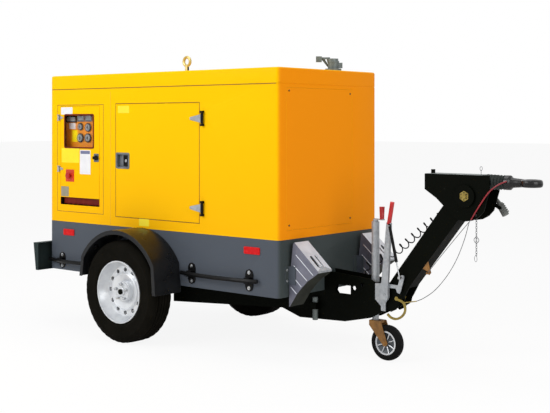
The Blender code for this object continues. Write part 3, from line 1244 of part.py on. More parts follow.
def chock(side):
    """A sheet wedge open at its back, hung nose up: a curved tyre face below and a slotted slope above."""
    back = GAP + 0.004 + GAP
    bottom = CHOCK_BOTTOM
    top = bottom + CHOCK_LENGTH
    outline = [
        (back, bottom),
        (0.009, bottom),
        (0.062, 0.397),
        (0.099, 0.438),
        (0.141, 0.479),
        (0.185, 0.508),
        (0.218, 0.532),
        (0.218, 0.543),
        (0.044, top),
        (0.034, top - 0.010),
        (back, 0.460),
    ]
    inner = [
        (back - 0.01, bottom + 0.012),
        (0.0095, bottom + 0.012),
        (0.057, 0.402),
        (0.094, 0.443),
        (0.137, 0.485),
        (0.181, 0.515),
        (0.206, 0.533),
        (0.206, 0.5425),
        (0.0482, top - 0.013),
        (back - 0.01, top - 0.013),
    ]
    ys = (side * CHOCK_Y - CHOCK_WIDTH / 2, side * CHOCK_Y + CHOCK_WIDTH / 2)
    cuts = [plate(inner, "XZ", ys[0] + 0.004, ys[1] - 0.004)]
    for low, high, radius in ((0.030, 0.056, 0.012), (0.076, 0.089, 0.006)):
        edges = sorted(side * (CHOCK_Y + CHOCK_WIDTH / 2 - depth) for depth in (low, high))
        cuts.append(plate(rounded(edges, (0.558, 0.622), radius), "YZ", 0.07, 0.25))
    part(on_side(side, "chock"), ZINC, plate(outline, "XZ", *ys), cut=cuts)


# Cables and the lead of the lights


def in_plane(route, y):
    return [(x, y, z) for x, z in route]


def trailer_lead():
    """The curled lead from its gland on the nose to the arm's bracket, then the straight lead and its plug."""
    start = [(CURL_ROUTE[0][0], LEAD_Y, LEAD_GLAND_TOP + GAP)]
    curl = [*start, *smooth_path(in_plane(CURL_ROUTE, LEAD_Y), 2)]
    part("trailer_lead_curl", BLACK, wire(curl, CURL_RADIUS))
    tail = smooth_path(in_plane(TAIL_ROUTE, LEAD_Y), 3)
    part("trailer_lead_tail", BLACK, wire(tail, LEAD_RADIUS))
    run = (tail[-1] - tail[-2]).normalized()
    start = tail[-1] + run * GAP
    boot_end = start + run * 0.034
    boot = rod(start, boot_end, 0.008, 12, end_radius=0.014)
    body = rod(boot_end - run * 0.002, start + run * PLUG_LENGTH, PLUG_RADIUS, 16)
    part("lead_plug", PLUG_GREY, body, add=[boot])


def brake_cables():
    """A sheath from the towing eye, the cable that pulls on the arm's fitting, and a slack one to the handle."""
    first = (EYE_COLLAR[0], -0.0455, EYE_COLLAR[1] + 0.010)
    sheath = [first, *in_plane(SHEATH_ROUTE[1:], CABLE_Y)]
    part("breakaway_sheath", RED, wire(smooth_path(sheath, 4), SHEATH_RADIUS))
    part("breakaway_cable", ZINC, wire(smooth_path(in_plane(STEEL_ROUTE, CABLE_Y), 3), CABLE_RADIUS))
    slack = [*in_plane(SLACK_ROUTE, CABLE_Y - 0.005), (HANDLE_TIP[0] + 0.0012, HANDLE_Y, HANDLE_TIP[1] + 0.0004)]
    part("slack_cable", ZINC, wire(smooth_path(slack, 5), CABLE_RADIUS))


def build():
    canopy_body()
    roof_lid()
    end_panels()
    control_door()
    control_cabinet()
    skid_base()
    rear_light_bar()
    lifting_frame()
    engine()
    alternator()
    radiator_and_fan()
    tank_and_battery()
    silencer()
    exhaust_outlet()
    rain_cap()
    axle_tube()
    for side in (-1, 1):
        service_door(side)
        tyre(side)
        wheel_rim(side)
        suspension_arm(side)
        mudguard(side)
        chock(side)
    drawbar_nose()
    drawbar_arm()
    clamp_handle()
    coupling_housing()
    overrun_gear()
    brake_gear()
    jockey()
    trailer_lead()
    brake_cables()


build()
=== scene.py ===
"""The looks of the towable diesel generator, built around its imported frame."""

import math

import bmesh
import bpy
from mathutils import Matrix, Vector


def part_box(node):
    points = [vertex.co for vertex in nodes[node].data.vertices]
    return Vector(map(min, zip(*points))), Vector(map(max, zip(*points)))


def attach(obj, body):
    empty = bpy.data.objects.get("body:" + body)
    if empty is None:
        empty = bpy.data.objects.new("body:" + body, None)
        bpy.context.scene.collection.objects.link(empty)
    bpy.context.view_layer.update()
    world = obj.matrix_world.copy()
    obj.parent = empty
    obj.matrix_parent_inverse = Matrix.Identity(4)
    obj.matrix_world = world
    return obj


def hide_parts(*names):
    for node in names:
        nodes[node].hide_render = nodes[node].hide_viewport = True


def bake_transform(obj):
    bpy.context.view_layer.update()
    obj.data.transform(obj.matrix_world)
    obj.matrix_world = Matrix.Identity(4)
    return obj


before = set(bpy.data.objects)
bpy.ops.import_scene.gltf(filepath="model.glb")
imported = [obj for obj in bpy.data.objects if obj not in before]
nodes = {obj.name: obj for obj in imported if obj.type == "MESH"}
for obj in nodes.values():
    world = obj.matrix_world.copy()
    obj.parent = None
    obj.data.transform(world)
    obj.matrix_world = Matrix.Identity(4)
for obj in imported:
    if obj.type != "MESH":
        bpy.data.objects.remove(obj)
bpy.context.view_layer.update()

# All places below are in metres from the canopy's front face, the centre line and the ground.
SHIFT = 0.36694
SIDE = 0.4955
NEAR, FAR = -1, 1
SIDES = ((NEAR, "near"), (FAR, "far"))


def at(x, y, z):
    """A place in the frame."""
    return Vector((x + SHIFT, y, z))


# Camera

camera_data = bpy.data.cameras.new("camera")
camera_data.sensor_width = 36
camera_data.lens = 70.67
camera_data.shift_y = -0.1533
camera_data.clip_end = 200
camera = bpy.data.objects.new("camera", camera_data)
camera.location = at(3.986, -5.3015, 1.398)
camera.rotation_euler = (math.radians(90), 0, math.radians(39.87))
bpy.context.scene.collection.objects.link(camera)
bpy.context.scene.camera = camera


# Materials


def linear(rgb):
    """A colour in 0 to 255 screen values, as the shader wants it."""
    found = []
    for value in rgb:
        c = value / 255
        found.append(c / 12.92 if c <= 0.04045 else ((c + 0.055) / 1.055) ** 2.4)
    return (*found, 1)


class Shader:
    """One node material: a Principled shader and short ways to feed it."""

    def __init__(self, name, colour, rough=0.4, metal=0.0, coat=0.0, specular=0.5):
        """Starts with one plain colour."""
        self.made = bpy.data.materials.new(name)
        self.made.use_nodes = True
        self.tree = self.made.node_tree
        self.shader = self.tree.nodes["Principled BSDF"]
        numbers = {"Roughness": rough, "Metallic": metal, "Coat Weight": coat, "Specular IOR Level": specular}
        for socket, value in {"Base Color": linear(colour), **numbers}.items():
            self.shader.inputs[socket].default_value = value
        self.made.diffuse_color = linear(colour)
        self.place = self.add("TexCoord").outputs["Object"]

    def add(self, kind):
        """A new node of the kind."""
        return self.tree.nodes.new("ShaderNode" + kind)

    def link(self, a, b):
        """Joins an output to an input."""
        self.tree.links.new(a, b)

    def noise(self, scale, detail=3.0, stretch=(1, 1, 1), rough=0.55):
        """Cloudy values, about 0.5."""
        mapping = self.add("Mapping")
        mapping.inputs["Scale"].default_value = stretch
        self.link(self.place, mapping.inputs["Vector"])
        texture = self.add("TexNoise")
        texture.inputs["Scale"].default_value = scale
        texture.inputs["Detail"].default_value = detail
        texture.inputs["Roughness"].default_value = rough
        self.link(mapping.outputs["Vector"], texture.inputs["Vector"])
        return texture.outputs["Fac"]

    def cells(self, scale, feature="F1"):
        """Values that change from cell to cell."""
        texture = self.add("TexVoronoi")
        texture.feature = feature
        texture.inputs["Scale"].default_value = scale
        self.link(self.place, texture.inputs["Vector"])
        return texture.outputs["Distance" if feature != "F1" else "Color"]

    def spread(self, value, low, high, to_low, to_high):
        """Stretches a range of values onto another."""
        node = self.add("MapRange")
        for name, number in (("From Min", low), ("From Max", high), ("To Min", to_low), ("To Max", to_high)):
            node.inputs[name].default_value = number
        self.link(value, node.inputs["Value"])
        return node.outputs["Result"]

    def mix(self, factor, other):
        """Mixes another colour into what the base colour is now."""
        node = self.add("Mix")
        node.data_type = "RGBA"
        socket = self.shader.inputs["Base Color"]
        if socket.is_linked:
            self.link(socket.links[0].from_socket, node.inputs[6])
        else:
            node.inputs[6].default_value = socket.default_value
        node.inputs[7].default_value = linear(other)
        self.link(factor, node.inputs[0])
        self.link(node.outputs[2], socket)
        return self

    def vary(self, other, scale=4.0, low=0.35, high=0.75, amount=1.0, stretch=(1, 1, 1), detail=3.0):
        """Clouds another colour into the base colour."""
        return self.mix(self.spread(self.noise(scale, detail, stretch), low, high, 0, amount), other)

    def rough(self, low, high, scale=30.0, stretch=(1, 1, 1)):
        """Lets the roughness wander between two values."""
        value = self.spread(self.noise(scale, 4, stretch), 0.3, 0.7, low, high)
        self.link(value, self.shader.inputs["Roughness"])
        return self

    def bump(self, value, depth, strength=1.0):
        """Lifts the surface by a value."""
        node = self.add("Bump")
        node.inputs["Strength"].default_value = strength
        node.inputs["Distance"].default_value = depth
        self.link(value, node.inputs["Height"])
        socket = self.shader.inputs["Normal"]
        if socket.is_linked:
            self.link(socket.links[0].from_socket, node.inputs["Normal"])
        self.link(node.outputs["Normal"], socket)
        return self

    def grain(self, scale, depth, strength=0.5, detail=2):
        """A fine relief all over."""
        return self.bump(self.noise(scale, detail), depth, strength)

    def height(self):
        """How high the surface is."""
        parts = self.add("SeparateXYZ")
        self.link(self.place, parts.inputs["Vector"])
        return parts.outputs["Z"]

    def facing(self, axis):
        """How far the surface itself faces along a row axis."""
        geometry = self.add("NewGeometry")
        parts = self.add("SeparateXYZ")
        self.link(geometry.outputs["Normal"], parts.inputs["Vector"])
        return parts.outputs[axis]


def powder_coat(name, colour, shade, rough=0.38, specular=0.12, front_shade_tone=None):
    """Sprayed paint with slight changes of tone, and a darker tone painted as shade on the faces turned to +X
    when a last tone is given.
    """
    paint = Shader(name, colour, rough, specular=specular)
    paint.vary(shade, 1.3, 0.35, 0.8, 0.35)
    if front_shade_tone is not None:
        # Painted shade: faces turned to +X take the darker tone.
        paint.mix(paint.spread(paint.facing("X"), 0.45, 0.95, 0.0, 1.0), front_shade_tone)
    paint.rough(rough - 0.05, rough + 0.08, 18)
    paint.grain(420, 0.00012, 0.6)
    return paint


yellow = powder_coat("yellow_paint", (255, 201, 3), (254, 194, 5), 0.4, 0.03)
# Painted shade: the yellow turns more orange towards the bottom.
yellow.mix(yellow.spread(yellow.height(), 0.72, 1.5, 0.8, 0.0), (252, 184, 12))
# Painted shade: faces turned to +X take an orange tone.
yellow.mix(yellow.spread(yellow.facing("X"), 0.4, 0.95, 0.0, 1.0), (252, 150, 14))
# Painted shadow for the dark lines of the panel gaps and the roof seam.
seam_shadow_paint = Shader("seam_shadow", (150, 96, 2), 0.6).vary((124, 78, 2), 6)
# Painted shade for the groove of the upright panel seam on the long sides.
joint_shadow_paint = Shader("joint_shadow", (236, 176, 6), 0.6).vary((222, 162, 5), 6)
# The last tone is painted shade on the grey's faces turned to +X.
grey = powder_coat("grey_paint", (80, 86, 95), (72, 77, 86), 0.42, 0.12, (62, 69, 69))
grey.mix(grey.spread(grey.noise(70, 4), 0.70, 0.78, 0, 0.2), (112, 112, 110))
# The last tone is painted shade on the black's faces turned to +X.
black = powder_coat("black_paint", (9, 11, 7), (15, 18, 13), 0.42, 0.05, (4, 5, 3))
black.mix(black.spread(black.noise(55, 5), 0.69, 0.78, 0, 0.3), (62, 60, 54))
bar_grey = powder_coat("bar_paint", (48, 58, 58), (41, 50, 50), 0.45, 0.06)
guard_plastic = Shader("guard_plastic", (15, 16, 18), 0.32, specular=0.25).vary((25, 26, 28), 3)
guard_plastic.rough(0.24, 0.42, 12).grain(650, 0.0002)
plastic = Shader("black_plastic", (17, 18, 18), 0.45).vary((32, 33, 33), 9)
plastic.rough(0.38, 0.55, 40).grain(900, 0.0002)
iron = Shader("engine_paint", (72, 78, 84), 0.5).vary((54, 58, 62), 6)
iron.grain(160, 0.0006, 0.6, 4)
core = Shader("radiator_core", (30, 31, 32), 0.5, 0.4).vary((52, 53, 54), 8)
core.bump(core.noise(260, 2, (0.05, 1, 0.05)), 0.002, 0.8)
zinc = Shader("galvanised", (168, 172, 176), 0.42, 0.45)
zinc.mix(zinc.spread(zinc.cells(75), 0.2, 0.9, 0, 0.5), (128, 134, 140)).rough(0.34, 0.55, 60)
zinc.vary((190, 194, 197), 14, 0.45, 0.75, 0.6).grain(220, 0.00025, 0.5, 3)
dull_zinc = Shader("dull_zinc", (112, 120, 118), 0.5, 0.4).vary((84, 90, 90), 12)
dull_zinc.rough(0.4, 0.6, 50).grain(240, 0.0003, 0.5, 3)
# Painted light: a brighter copy of the zinc for the chock's lit back and ribs.
painted_lit_zinc = Shader("painted_lit_zinc", (214, 217, 224), 0.4, 0.25).vary((188, 192, 200), 14)
painted_lit_zinc.rough(0.32, 0.5, 50).grain(220, 0.0002, 0.5, 3)
# Painted shade: a darker copy of the zinc for the chock's curved faces.
shade_zinc = Shader("shaded_zinc", (48, 50, 44), 0.6, specular=0.1).vary((34, 36, 31), 14)
lift_gold = Shader("lifting_eye_zinc", (214, 196, 128), 0.34, 0.35).vary((186, 160, 84), 24)
chock_face = Shader("chock_face", (118, 119, 133), 0.45, 0.2).vary((96, 98, 112), 9)
chock_face.rough(0.35, 0.55, 50).grain(200, 0.0003, 0.5, 3)
gold = Shader("gold_zinc", (150, 132, 62), 0.4, 0.5).vary((108, 88, 34), 16)
gold.vary((176, 150, 70), 30, 0.55, 0.8, 0.6)
gold.rough(0.3, 0.5, 40).grain(260, 0.0002, 0.5, 3)
bronze = Shader("brown_zinc", (150, 106, 52), 0.45, 0.35).vary((96, 66, 34), 22)
bronze.rough(0.35, 0.55, 40).grain(240, 0.0003, 0.5, 3)
silver = Shader("silver_paint", (222, 225, 228), 0.34, 0.5, coat=0.1).vary((196, 199, 204), 11)
silver.rough(0.28, 0.42, 45).grain(500, 0.0002)
steel = Shader("bright_steel", (190, 192, 194), 0.25, 0.9).vary((150, 152, 154), 30).rough(0.18, 0.36, 80)
tread = Shader("tyre_rubber", (14, 13, 9), 0.8, specular=0.06).vary((22, 20, 16), 10)
tread.rough(0.65, 0.85, 40).grain(380, 0.0004, 0.6, 3)
rubber = Shader("black_rubber", (15, 15, 15), 0.6, specular=0.12).vary((24, 24, 24), 12)
rubber.rough(0.5, 0.7, 50).grain(500, 0.0003, 0.6)
boot_rubber = Shader("grey_rubber", (54, 60, 58), 0.6, specular=0.15).vary((38, 42, 41), 14)
boot_rubber.rough(0.5, 0.7, 50).grain(500, 0.0003, 0.6)
forged = Shader("forged_black", (12, 12, 13), 0.26, specular=0.3, coat=0.12).vary((24, 24, 25), 14)
forged.rough(0.18, 0.36, 30).grain(70, 0.0008, 0.5, 4)
gloss_black = Shader("gloss_black", (9, 9, 10), 0.34, specular=0.18, coat=0.05).vary((15, 15, 16), 10)
gloss_black.rough(0.28, 0.42, 40)
red = Shader("red_plastic", (196, 14, 16), 0.35, coat=0.2).vary((160, 8, 12), 14)
red.rough(0.28, 0.42, 50).grain(600, 0.0001)
lens = Shader("red_lens", (206, 12, 18), 0.34, specular=0.15, coat=0.05)
lens.vary((232, 40, 40), 40, 0.5, 0.7, 0.6)
lens.bump(lens.cells(260, "DISTANCE_TO_EDGE"), 0.0008, 0.7)
amber = Shader("amber_lens", (240, 120, 20), 0.18, coat=0.6).vary((250, 160, 50), 40)
amber.bump(amber.cells(260, "DISTANCE_TO_EDGE"), 0.0008, 0.7)
# Maroon: real rubber on the window seal, and painted shade for the dark cable opening.
maroon = Shader("maroon_rubber_and_opening_shade", (100, 18, 6), 0.6, specular=0.2).vary((120, 30, 12), 16)
maroon.rough(0.5, 0.7, 40).grain(300, 0.0003)
panel_paint = Shader("panel_orange", (238, 150, 22), 0.4, coat=0.1).vary((226, 128, 18), 8)
panel_paint.grain(500, 0.0001)
stop_paint = Shader("stop_plate", (216, 62, 20), 0.4).vary((198, 44, 14), 14)
stop_paint.grain(500, 0.0001)
bezel = Shader("bezel_grey", (120, 124, 130), 0.35, 0.3).vary((92, 96, 102), 20).rough(0.28, 0.42, 50)
meter = Shader("meter_face", (152, 157, 160), 0.35, coat=0.3).vary((138, 143, 146), 40)
sheath_red = Shader("sheath_red", (150, 10, 30), 0.4, coat=0.15).vary((120, 8, 24), 14)
wire_steel = Shader("cable_steel", (118, 121, 123), 0.35, 0.7).vary((88, 90, 92), 60)
white_label = Shader("white_label", (238, 238, 240), 0.45, coat=0.2).vary((228, 228, 232), 12)
blue_label = Shader("blue_grey_label", (112, 118, 150), 0.45, coat=0.2).vary((100, 106, 138), 12)
lemon_label = Shader("yellow_label", (255, 232, 0), 0.4, coat=0.3).vary((252, 222, 0), 12)
grey_label = Shader("grey_label", (168, 162, 140), 0.3, 0.4).vary((148, 142, 122), 20)
plug_grey = Shader("plug_grey", (108, 110, 106), 0.5).vary((84, 86, 83), 24)
plug_grey.rough(0.42, 0.6, 60).grain(500, 0.0003)
pane = Shader("clear_pane", (255, 255, 255), 0.04)
pane.shader.inputs["Transmission Weight"].default_value = 1.0
pane.shader.inputs["IOR"].default_value = 1.1
pane.shader.inputs["Alpha"].default_value = 0.12
DULL_IOR = 1.32
for dull in (black, tread, gloss_black, rubber, bar_grey):
    dull.shader.inputs["IOR"].default_value = DULL_IOR
# Painted shade for the sunk screws, the rim's holes and the nut's hollows.
hollow_shadow = Shader("hollow_shadow", (10, 10, 11), 0.8).vary((18, 18, 18), 12)


# Shapes


CREASE = 32


def finish_piece(obj, shader, body, slot=None, smooth=None, bevel=None):
    """Puts a new piece in the scene: its finish, its rounded edges and the body it rides on."""
    if obj.name not in bpy.context.scene.collection.objects:
        bpy.context.scene.collection.objects.link(obj)
    if shader is not None:
        obj.data.materials.clear()
        obj.data.materials.append(shader.made)
    if bevel is not None:
        modifier = obj.modifiers.new("edges", "BEVEL")
        modifier.width = bevel
        modifier.segments = 2
        modifier.limit_method = "ANGLE"
        modifier.angle_limit = math.radians(CREASE)
        modifier.use_clamp_overlap = True
        modifier.harden_normals = False
    if smooth is not None:
        for polygon in obj.data.polygons:
            polygon.use_smooth = True
        obj.data.set_sharp_from_angle(angle=math.radians(smooth))
    if body is not None:
        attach(obj, body)
    return obj


def new_mesh(name, shape):
    """An object of the finished shape."""
    mesh = bpy.data.meshes.new(name)
    bmesh.ops.recalc_face_normals(shape, faces=shape.faces)
    shape.to_mesh(mesh)
    shape.free()
    return bpy.data.objects.new(name, mesh)


def piece(name, shape, shader, body, slot=None, **finish):
    """A new piece of the finished shape."""
    return finish_piece(new_mesh(name, shape), shader, body, slot, **finish)


def turns(count, start=0.0):
    """Angles evenly round a circle, in radians."""
    return [start + 2 * math.pi * i / count for i in range(count)]


def skin(shape, rings, joined=True, closed=True):
    """Faces between neighbouring rings of points; joined ties the last ring to the first."""
    following = rings[1:] + rings[:1] if joined else rings[1:]
    for a, b in zip(rings, following):
        for k in range(len(a) if closed else len(a) - 1):
            m = (k + 1) % len(a)
            shape.faces.new((a[k], b[k], b[m], a[m]))


def add_box(shape, low, high):
    """A box between two corners."""
    low, high = at(*low), at(*high)
    centre = (low + high) / 2
    size = high - low
    matrix = Matrix.Translation(centre) @ Matrix.Diagonal((*size, 1))
    bmesh.ops.create_cube(shape, size=1.0, matrix=matrix)
    return shape


def add_plate(shape, outline, plane, low, high):
    """An outline of (across, up) points made solid between two places on the plane's normal."""
    place = {"XZ": lambda a, b, n: at(a, n, b), "YZ": lambda a, b, n: at(n, a, b)}[plane]
    rings = [[shape.verts.new(place(a, b, level)) for a, b in outline] for level in (low, high)]
    shape.faces.new(rings[0])
    shape.faces.new(rings[1][::-1])
    skin(shape, rings, joined=False)
    return shape


def add_frame(shape, outer, inner, levels):
    """A flat frame between two outlines of (x, z) points, from one place on Y to another."""
    loops = [[shape.verts.new(at(x, y, z)) for x, z in loop] for y in levels for loop in (outer, inner)]
    for i in range(len(outer)):
        j = (i + 1) % len(outer)
        for a, b in ((0, 1), (2, 3), (0, 2), (1, 3)):
            shape.faces.new((loops[a][i], loops[a][j], loops[b][j], loops[b][i]))
    return shape


def add_rod(shape, start, end, radius, sides=16, end_radius=None):
    """A rod or cone between two places."""
    start, end = at(*start), at(*end)
    run = end - start
    matrix = Matrix.Translation((start + end) / 2) @ run.to_track_quat("Z", "Y").to_matrix().to_4x4()
    top = radius if end_radius is None else end_radius
    bmesh.ops.create_cone(
        shape, cap_ends=True, segments=sides, radius1=radius, radius2=top, depth=run.length, matrix=matrix
    )
    return shape


def add_turned(shape, profile, matrix, steps=32, closed=False):
    """A profile of (radius, height) points turned about the matrix's Z axis."""
    rings = []
    for turn in turns(steps):
        ring = [matrix @ Vector((r * math.cos(turn), r * math.sin(turn), h)) for r, h in profile]
        rings.append([shape.verts.new(point) for point in ring])
    skin(shape, rings, closed=closed)
    if not closed:
        shape.faces.new([ring[0] for ring in rings])
        shape.faces.new([ring[-1] for ring in rings][::-1])
    bmesh.ops.remove_doubles(shape, verts=shape.verts, dist=0.00001)
    return shape


def sweep(name, points, radius, sides=10):
    """A round tube whose middle follows the points."""
    shape = bmesh.new()
    normal = None
    rings = []
    for i, point in enumerate(points):
        run = (points[min(i + 1, len(points) - 1)] - points[max(i - 1, 0)]).normalized()
        if normal is None:
            normal = run.orthogonal().normalized()
        normal = (normal - run * normal.dot(run)).normalized()
        side = run.cross(normal)
        ring = []
        for turn in turns(sides):
            ring.append(shape.verts.new(point + (normal * math.cos(turn) + side * math.sin(turn)) * radius))
        rings.append(ring)
    skin(shape, rings, joined=False)
    shape.faces.new(rings[0][::-1])
    shape.faces.new(rings[-1])
    return new_mesh(name, shape)


def smooth_path(points, steps):
    """Points on a smooth curve through the given ones."""
    knots = [Vector(point) for point in points]
    knots = [knots[0] * 2 - knots[1], *knots, knots[-1] * 2 - knots[-2]]
    found = []
    for a, b, c, d in zip(knots, knots[1:], knots[2:], knots[3:]):
        for t in (i / steps for i in range(steps)):
            square, cube = 2 * a - 5 * b + 4 * c - d, 3 * b - a - 3 * c + d
            found.append(0.5 * (2 * b + (c - a) * t + square * t**2 + cube * t**3))
    return [*found, knots[-2]]


def arc(centre, radius, start, end, steps):
    """Points round a part of a circle, between two angles in degrees."""
    angles = [math.radians(start + (end - start) * i / steps) for i in range(steps + 1)]
    return [(centre[0] + radius * math.cos(a), centre[1] + radius * math.sin(a)) for a in angles]


def rounded(xs, ys, radius, steps=5):
    """The outline of a rectangle with round corners."""
    x0, x1, y0, y1 = min(xs) + radius, max(xs) - radius, min(ys) + radius, max(ys) - radius
    corners = (((x1, y0), -90), ((x1, y1), 0), ((x0, y1), 90), ((x0, y0), 180))
    return [point for centre, start in corners for point in arc(centre, radius, start, start + 90, steps)]


def grown(xs, ys, margin, radius):
    """A rectangle's outline, wider by a margin all round, with round corners."""
    return rounded(*[(low - margin, high + margin) for low, high in (xs, ys)], radius)


def refine(node, shader, body, width=0.0015, zones=(), smooth=34):
    """A copy of a CAD node with rounded edges, standing for it; zones give other finishes by place."""
    source = nodes[node]
    mesh = source.data.copy()
    obj = bpy.data.objects.new(node + "_shown", mesh)
    mesh.materials.clear()
    shape = bmesh.new()
    shape.from_mesh(mesh)
    bmesh.ops.remove_doubles(shape, verts=shape.verts, dist=0.00002)
    bmesh.ops.dissolve_limit(
        shape, angle_limit=math.radians(1.0), verts=shape.verts, edges=shape.edges, delimit={"NORMAL"}
    )
    shape.to_mesh(mesh)
    shape.free()
    mesh.materials.append(shader.made)
    for index, (low, high, finish) in enumerate(zones, 1):
        mesh.materials.append(finish.made)
        low, high = at(*low), at(*high)
        for polygon in mesh.polygons:
            middle = sum((mesh.vertices[v].co for v in polygon.vertices), Vector()) / len(polygon.vertices)
            if all(low[i] <= middle[i] <= high[i] for i in range(3)):
                polygon.material_index = index
    finish_piece(obj, None, None, smooth=smooth, bevel=width)
    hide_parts(node)
    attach(obj, body)
    return obj


def dress(node, shader):
    """A CAD node whose shape is right keeps it and gets its finish."""
    data = nodes[node].data
    data.materials.clear()
    data.materials.append(shader.made)
    for polygon in data.polygons:
        polygon.use_smooth = True
    data.set_sharp_from_angle(angle=math.radians(34))


# Cords. The routes are the CAD's own, as (x, z) points in upright planes.

CABLE_Y = -0.0665
LEAD_Y = 0.095
CURL_RADIUS = 0.028
CURL_ROUTE = (
    (0.200, 0.4703), (0.200, 0.490), (0.240, 0.545), (0.432, 0.638),
    (0.530, 0.716), (0.636, 0.798), (0.760, 0.878), (0.846, 0.920),
)
TAIL_ROUTE = ((0.880, 0.937), (0.930, 0.968), (0.985, 1.000), (1.030, 1.011), (1.064, 0.999), (1.084, 0.972))
SHEATH_ROUTE = ((1.176, 1.058), (1.124, 1.018), (1.068, 0.944), (1.014, 0.862))
STEEL_ROUTE = ((1.0138, 0.8617), (0.940, 0.780), (0.838, 0.664), (0.7392, 0.548))
SLACK_ROUTE = ((1.006, 0.850), (0.975, 0.748), (0.928, 0.640), (0.868, 0.544), (0.790, 0.456), (0.718, 0.404))


def in_plane(route, y):
    """A route's places, in the upright plane at y."""
    return [at(x, y, z) for x, z in route]


def cord_piece(name, shader, points, radius, node, sides=10):
    """A cord as a tube on its path."""
    obj = sweep(name, points, radius, sides)
    finish_piece(obj, shader, None, smooth=60)
    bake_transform(obj)
    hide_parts(node)
    return obj


def curled_path():
    """A helix about the curled lead's line, straight at both ends."""
    turns, per_turn = 15, 16
    line = smooth_path(in_plane(CURL_ROUTE, LEAD_Y), 12)
    marks = [0.0]
    for a, b in zip(line, line[1:]):
        marks.append(marks[-1] + (b - a).length)
    total = marks[-1]
    coil = CURL_RADIUS - 0.0045
    found = []
    count = turns * per_turn
    k = 0
    for i in range(count + 1):
        along = total * i / count
        while k < len(line) - 2 and marks[k + 1] < along:
            k += 1
        part = (along - marks[k]) / max(marks[k + 1] - marks[k], 1e-9)
        point = line[k].lerp(line[k + 1], part)
        run = (line[min(k + 2, len(line) - 1)] - line[max(k - 1, 0)]).normalized()
        side = Vector((0, 1, 0))
        up = run.cross(side).normalized()
        ease = min(1.0, i / (per_turn * 1.2), (count - i) / (per_turn * 1.2))
        ease = ease * ease * (3 - 2 * ease)
        turn = 2 * math.pi * i / per_turn
        found.append(point + (side * math.cos(turn) + up * math.sin(turn)) * coil * ease)
    return found


curl = curled_path()
cord_piece(
    "trailer_lead_coil", rubber, curl, 0.0035, "trailer_lead_curl",
    sides=8,
)
tail = smooth_path(in_plane(TAIL_ROUTE, LEAD_Y), 6)
cord_piece(
    "trailer_lead_straight", rubber, tail, 0.005, "trailer_lead_tail",
)
sheath = smooth_path([at(1.2191, -0.0455, 1.0802), *in_plane(SHEATH_ROUTE, CABLE_Y)], 6)
cord_piece(
    "breakaway_sheath_shown", sheath_red, sheath, 0.004, "breakaway_sheath",
)
steel_line = smooth_path(in_plane(STEEL_ROUTE, CABLE_Y), 6)
cord_piece(
    "breakaway_cable_shown", wire_steel, steel_line, 0.002, "breakaway_cable",
    sides=8,
)
slack_end = at(0.6572, -0.0558, 0.3764)
slack = smooth_path([*in_plane(SLACK_ROUTE, CABLE_Y - 0.005), slack_end], 6)
cord_piece(
    "slack_cable_shown", wire_steel, slack, 0.002, "slack_cable",
    sides=8,
)


# Canopy, skid and panels

def wall_zone(side, xs, outs, zs, finish):
    """A zone on one long side; outs are its distances from the centre line."""
    near, far = sorted((side * outs[0], side * outs[1]))
    return ((xs[0], near, zs[0]), (xs[1], far, zs[1]), finish)


HINGE_HEIGHTS = ((1.35, 1.50), (0.80, 0.94))
hinge_zones, knuckle_zones = [], []
for side in (NEAR, FAR):
    for heights in HINGE_HEIGHTS:
        hinge_zones.append(wall_zone(side, (-0.68, -0.614), (0.492, 0.56), heights, zinc))
        hinge_zones.append(wall_zone(side, (-0.614, -0.585), (0.4965, 0.56), heights, gloss_black))
        knuckle_zones.append(wall_zone(side, (-0.62, -0.56), (0.4965, 0.56), heights, gloss_black))
    hinge_zones.append(wall_zone(side, (-1.40, -1.265), (0.44, 0.4945), (1.09, 1.20), bezel))
control_hinge = wall_zone(NEAR, (-2.02, -1.955), (0.4965, 0.56), (1.02, 1.47), zinc)
knuckle_zones.append(control_hinge)
refine("canopy_body", yellow, "chassis", 0.0016, knuckle_zones)
refine("roof_lid", yellow, "chassis", 0.0022, smooth=50)
refine("front_end_panel", yellow, "chassis", 0.0014)
refine("rear_end_panel", yellow, "chassis", 0.0014)
for side, word in SIDES:
    refine("service_door_" + word, yellow, "service_door_" + word, 0.0016, hinge_zones)
stop_plate = wall_zone(NEAR, (-1.915, -1.82), (0.4968, 0.56), (0.985, 1.076), stop_paint)
refine("control_door", yellow, "control_door", 0.0014, [control_hinge, stop_plate])
tie_zones = [
    wall_zone(side, xs, (0.497, 0.60), (0.38, top), gloss_black)
    for side in (NEAR, FAR)
    for xs, top in (((-2.08, -1.60), 0.60), ((-0.90, -0.10), 0.62))
]
refine("skid_base", grey, "chassis", 0.0016, tie_zones)
refine("rear_light_bar", bar_grey, "chassis", 0.002)
for node, shader in (
    ("control_cabinet", plastic), ("engine", iron), ("alternator", iron), ("radiator", core),
    ("fuel_tank", plastic), ("battery", plastic), ("silencer", dull_zinc), ("cooling_fan", plastic),
    ("control_window", pane), ("instrument_panel", panel_paint),
):
    dress(node, shader)


def sticker(name, xs, zs, shader, body, y=-SIDE, thick=0.0007, radius=0.003, slot=None):
    """A bare plate or label on a wall that faces along Y."""
    direction = -1 if y < 0 else 1
    outline = rounded(xs, zs, radius, 3)
    shape = add_plate(bmesh.new(), outline, "XZ", y + direction * 0.00015, y + direction * thick)
    return piece(name, shape, shader, body, slot=slot)


def on_wall(side):
    """The back and front of a painted line on a long side, in order along Y."""
    return sorted((side * (SIDE + 0.0001), side * (SIDE + 0.0005)))


def line_frame(name, xs, zs, width, shader, body, y=-SIDE, thick=0.0005):
    """A thin painted shadow line along a panel joint, drawn as four strips."""
    direction = -1 if y < 0 else 1
    shape = bmesh.new()
    low, high = sorted((y + direction * 0.0001, y + direction * thick))
    (x0, x1), (z0, z1) = xs, zs
    for z in (z0, z1 - width):
        add_box(shape, (x0, low, z), (x1, high, z + width))
    for x in (x0, x1 - width):
        add_box(shape, (x, low, z0), (x + width, high, z1))
    return piece(name, shape, shader, body)


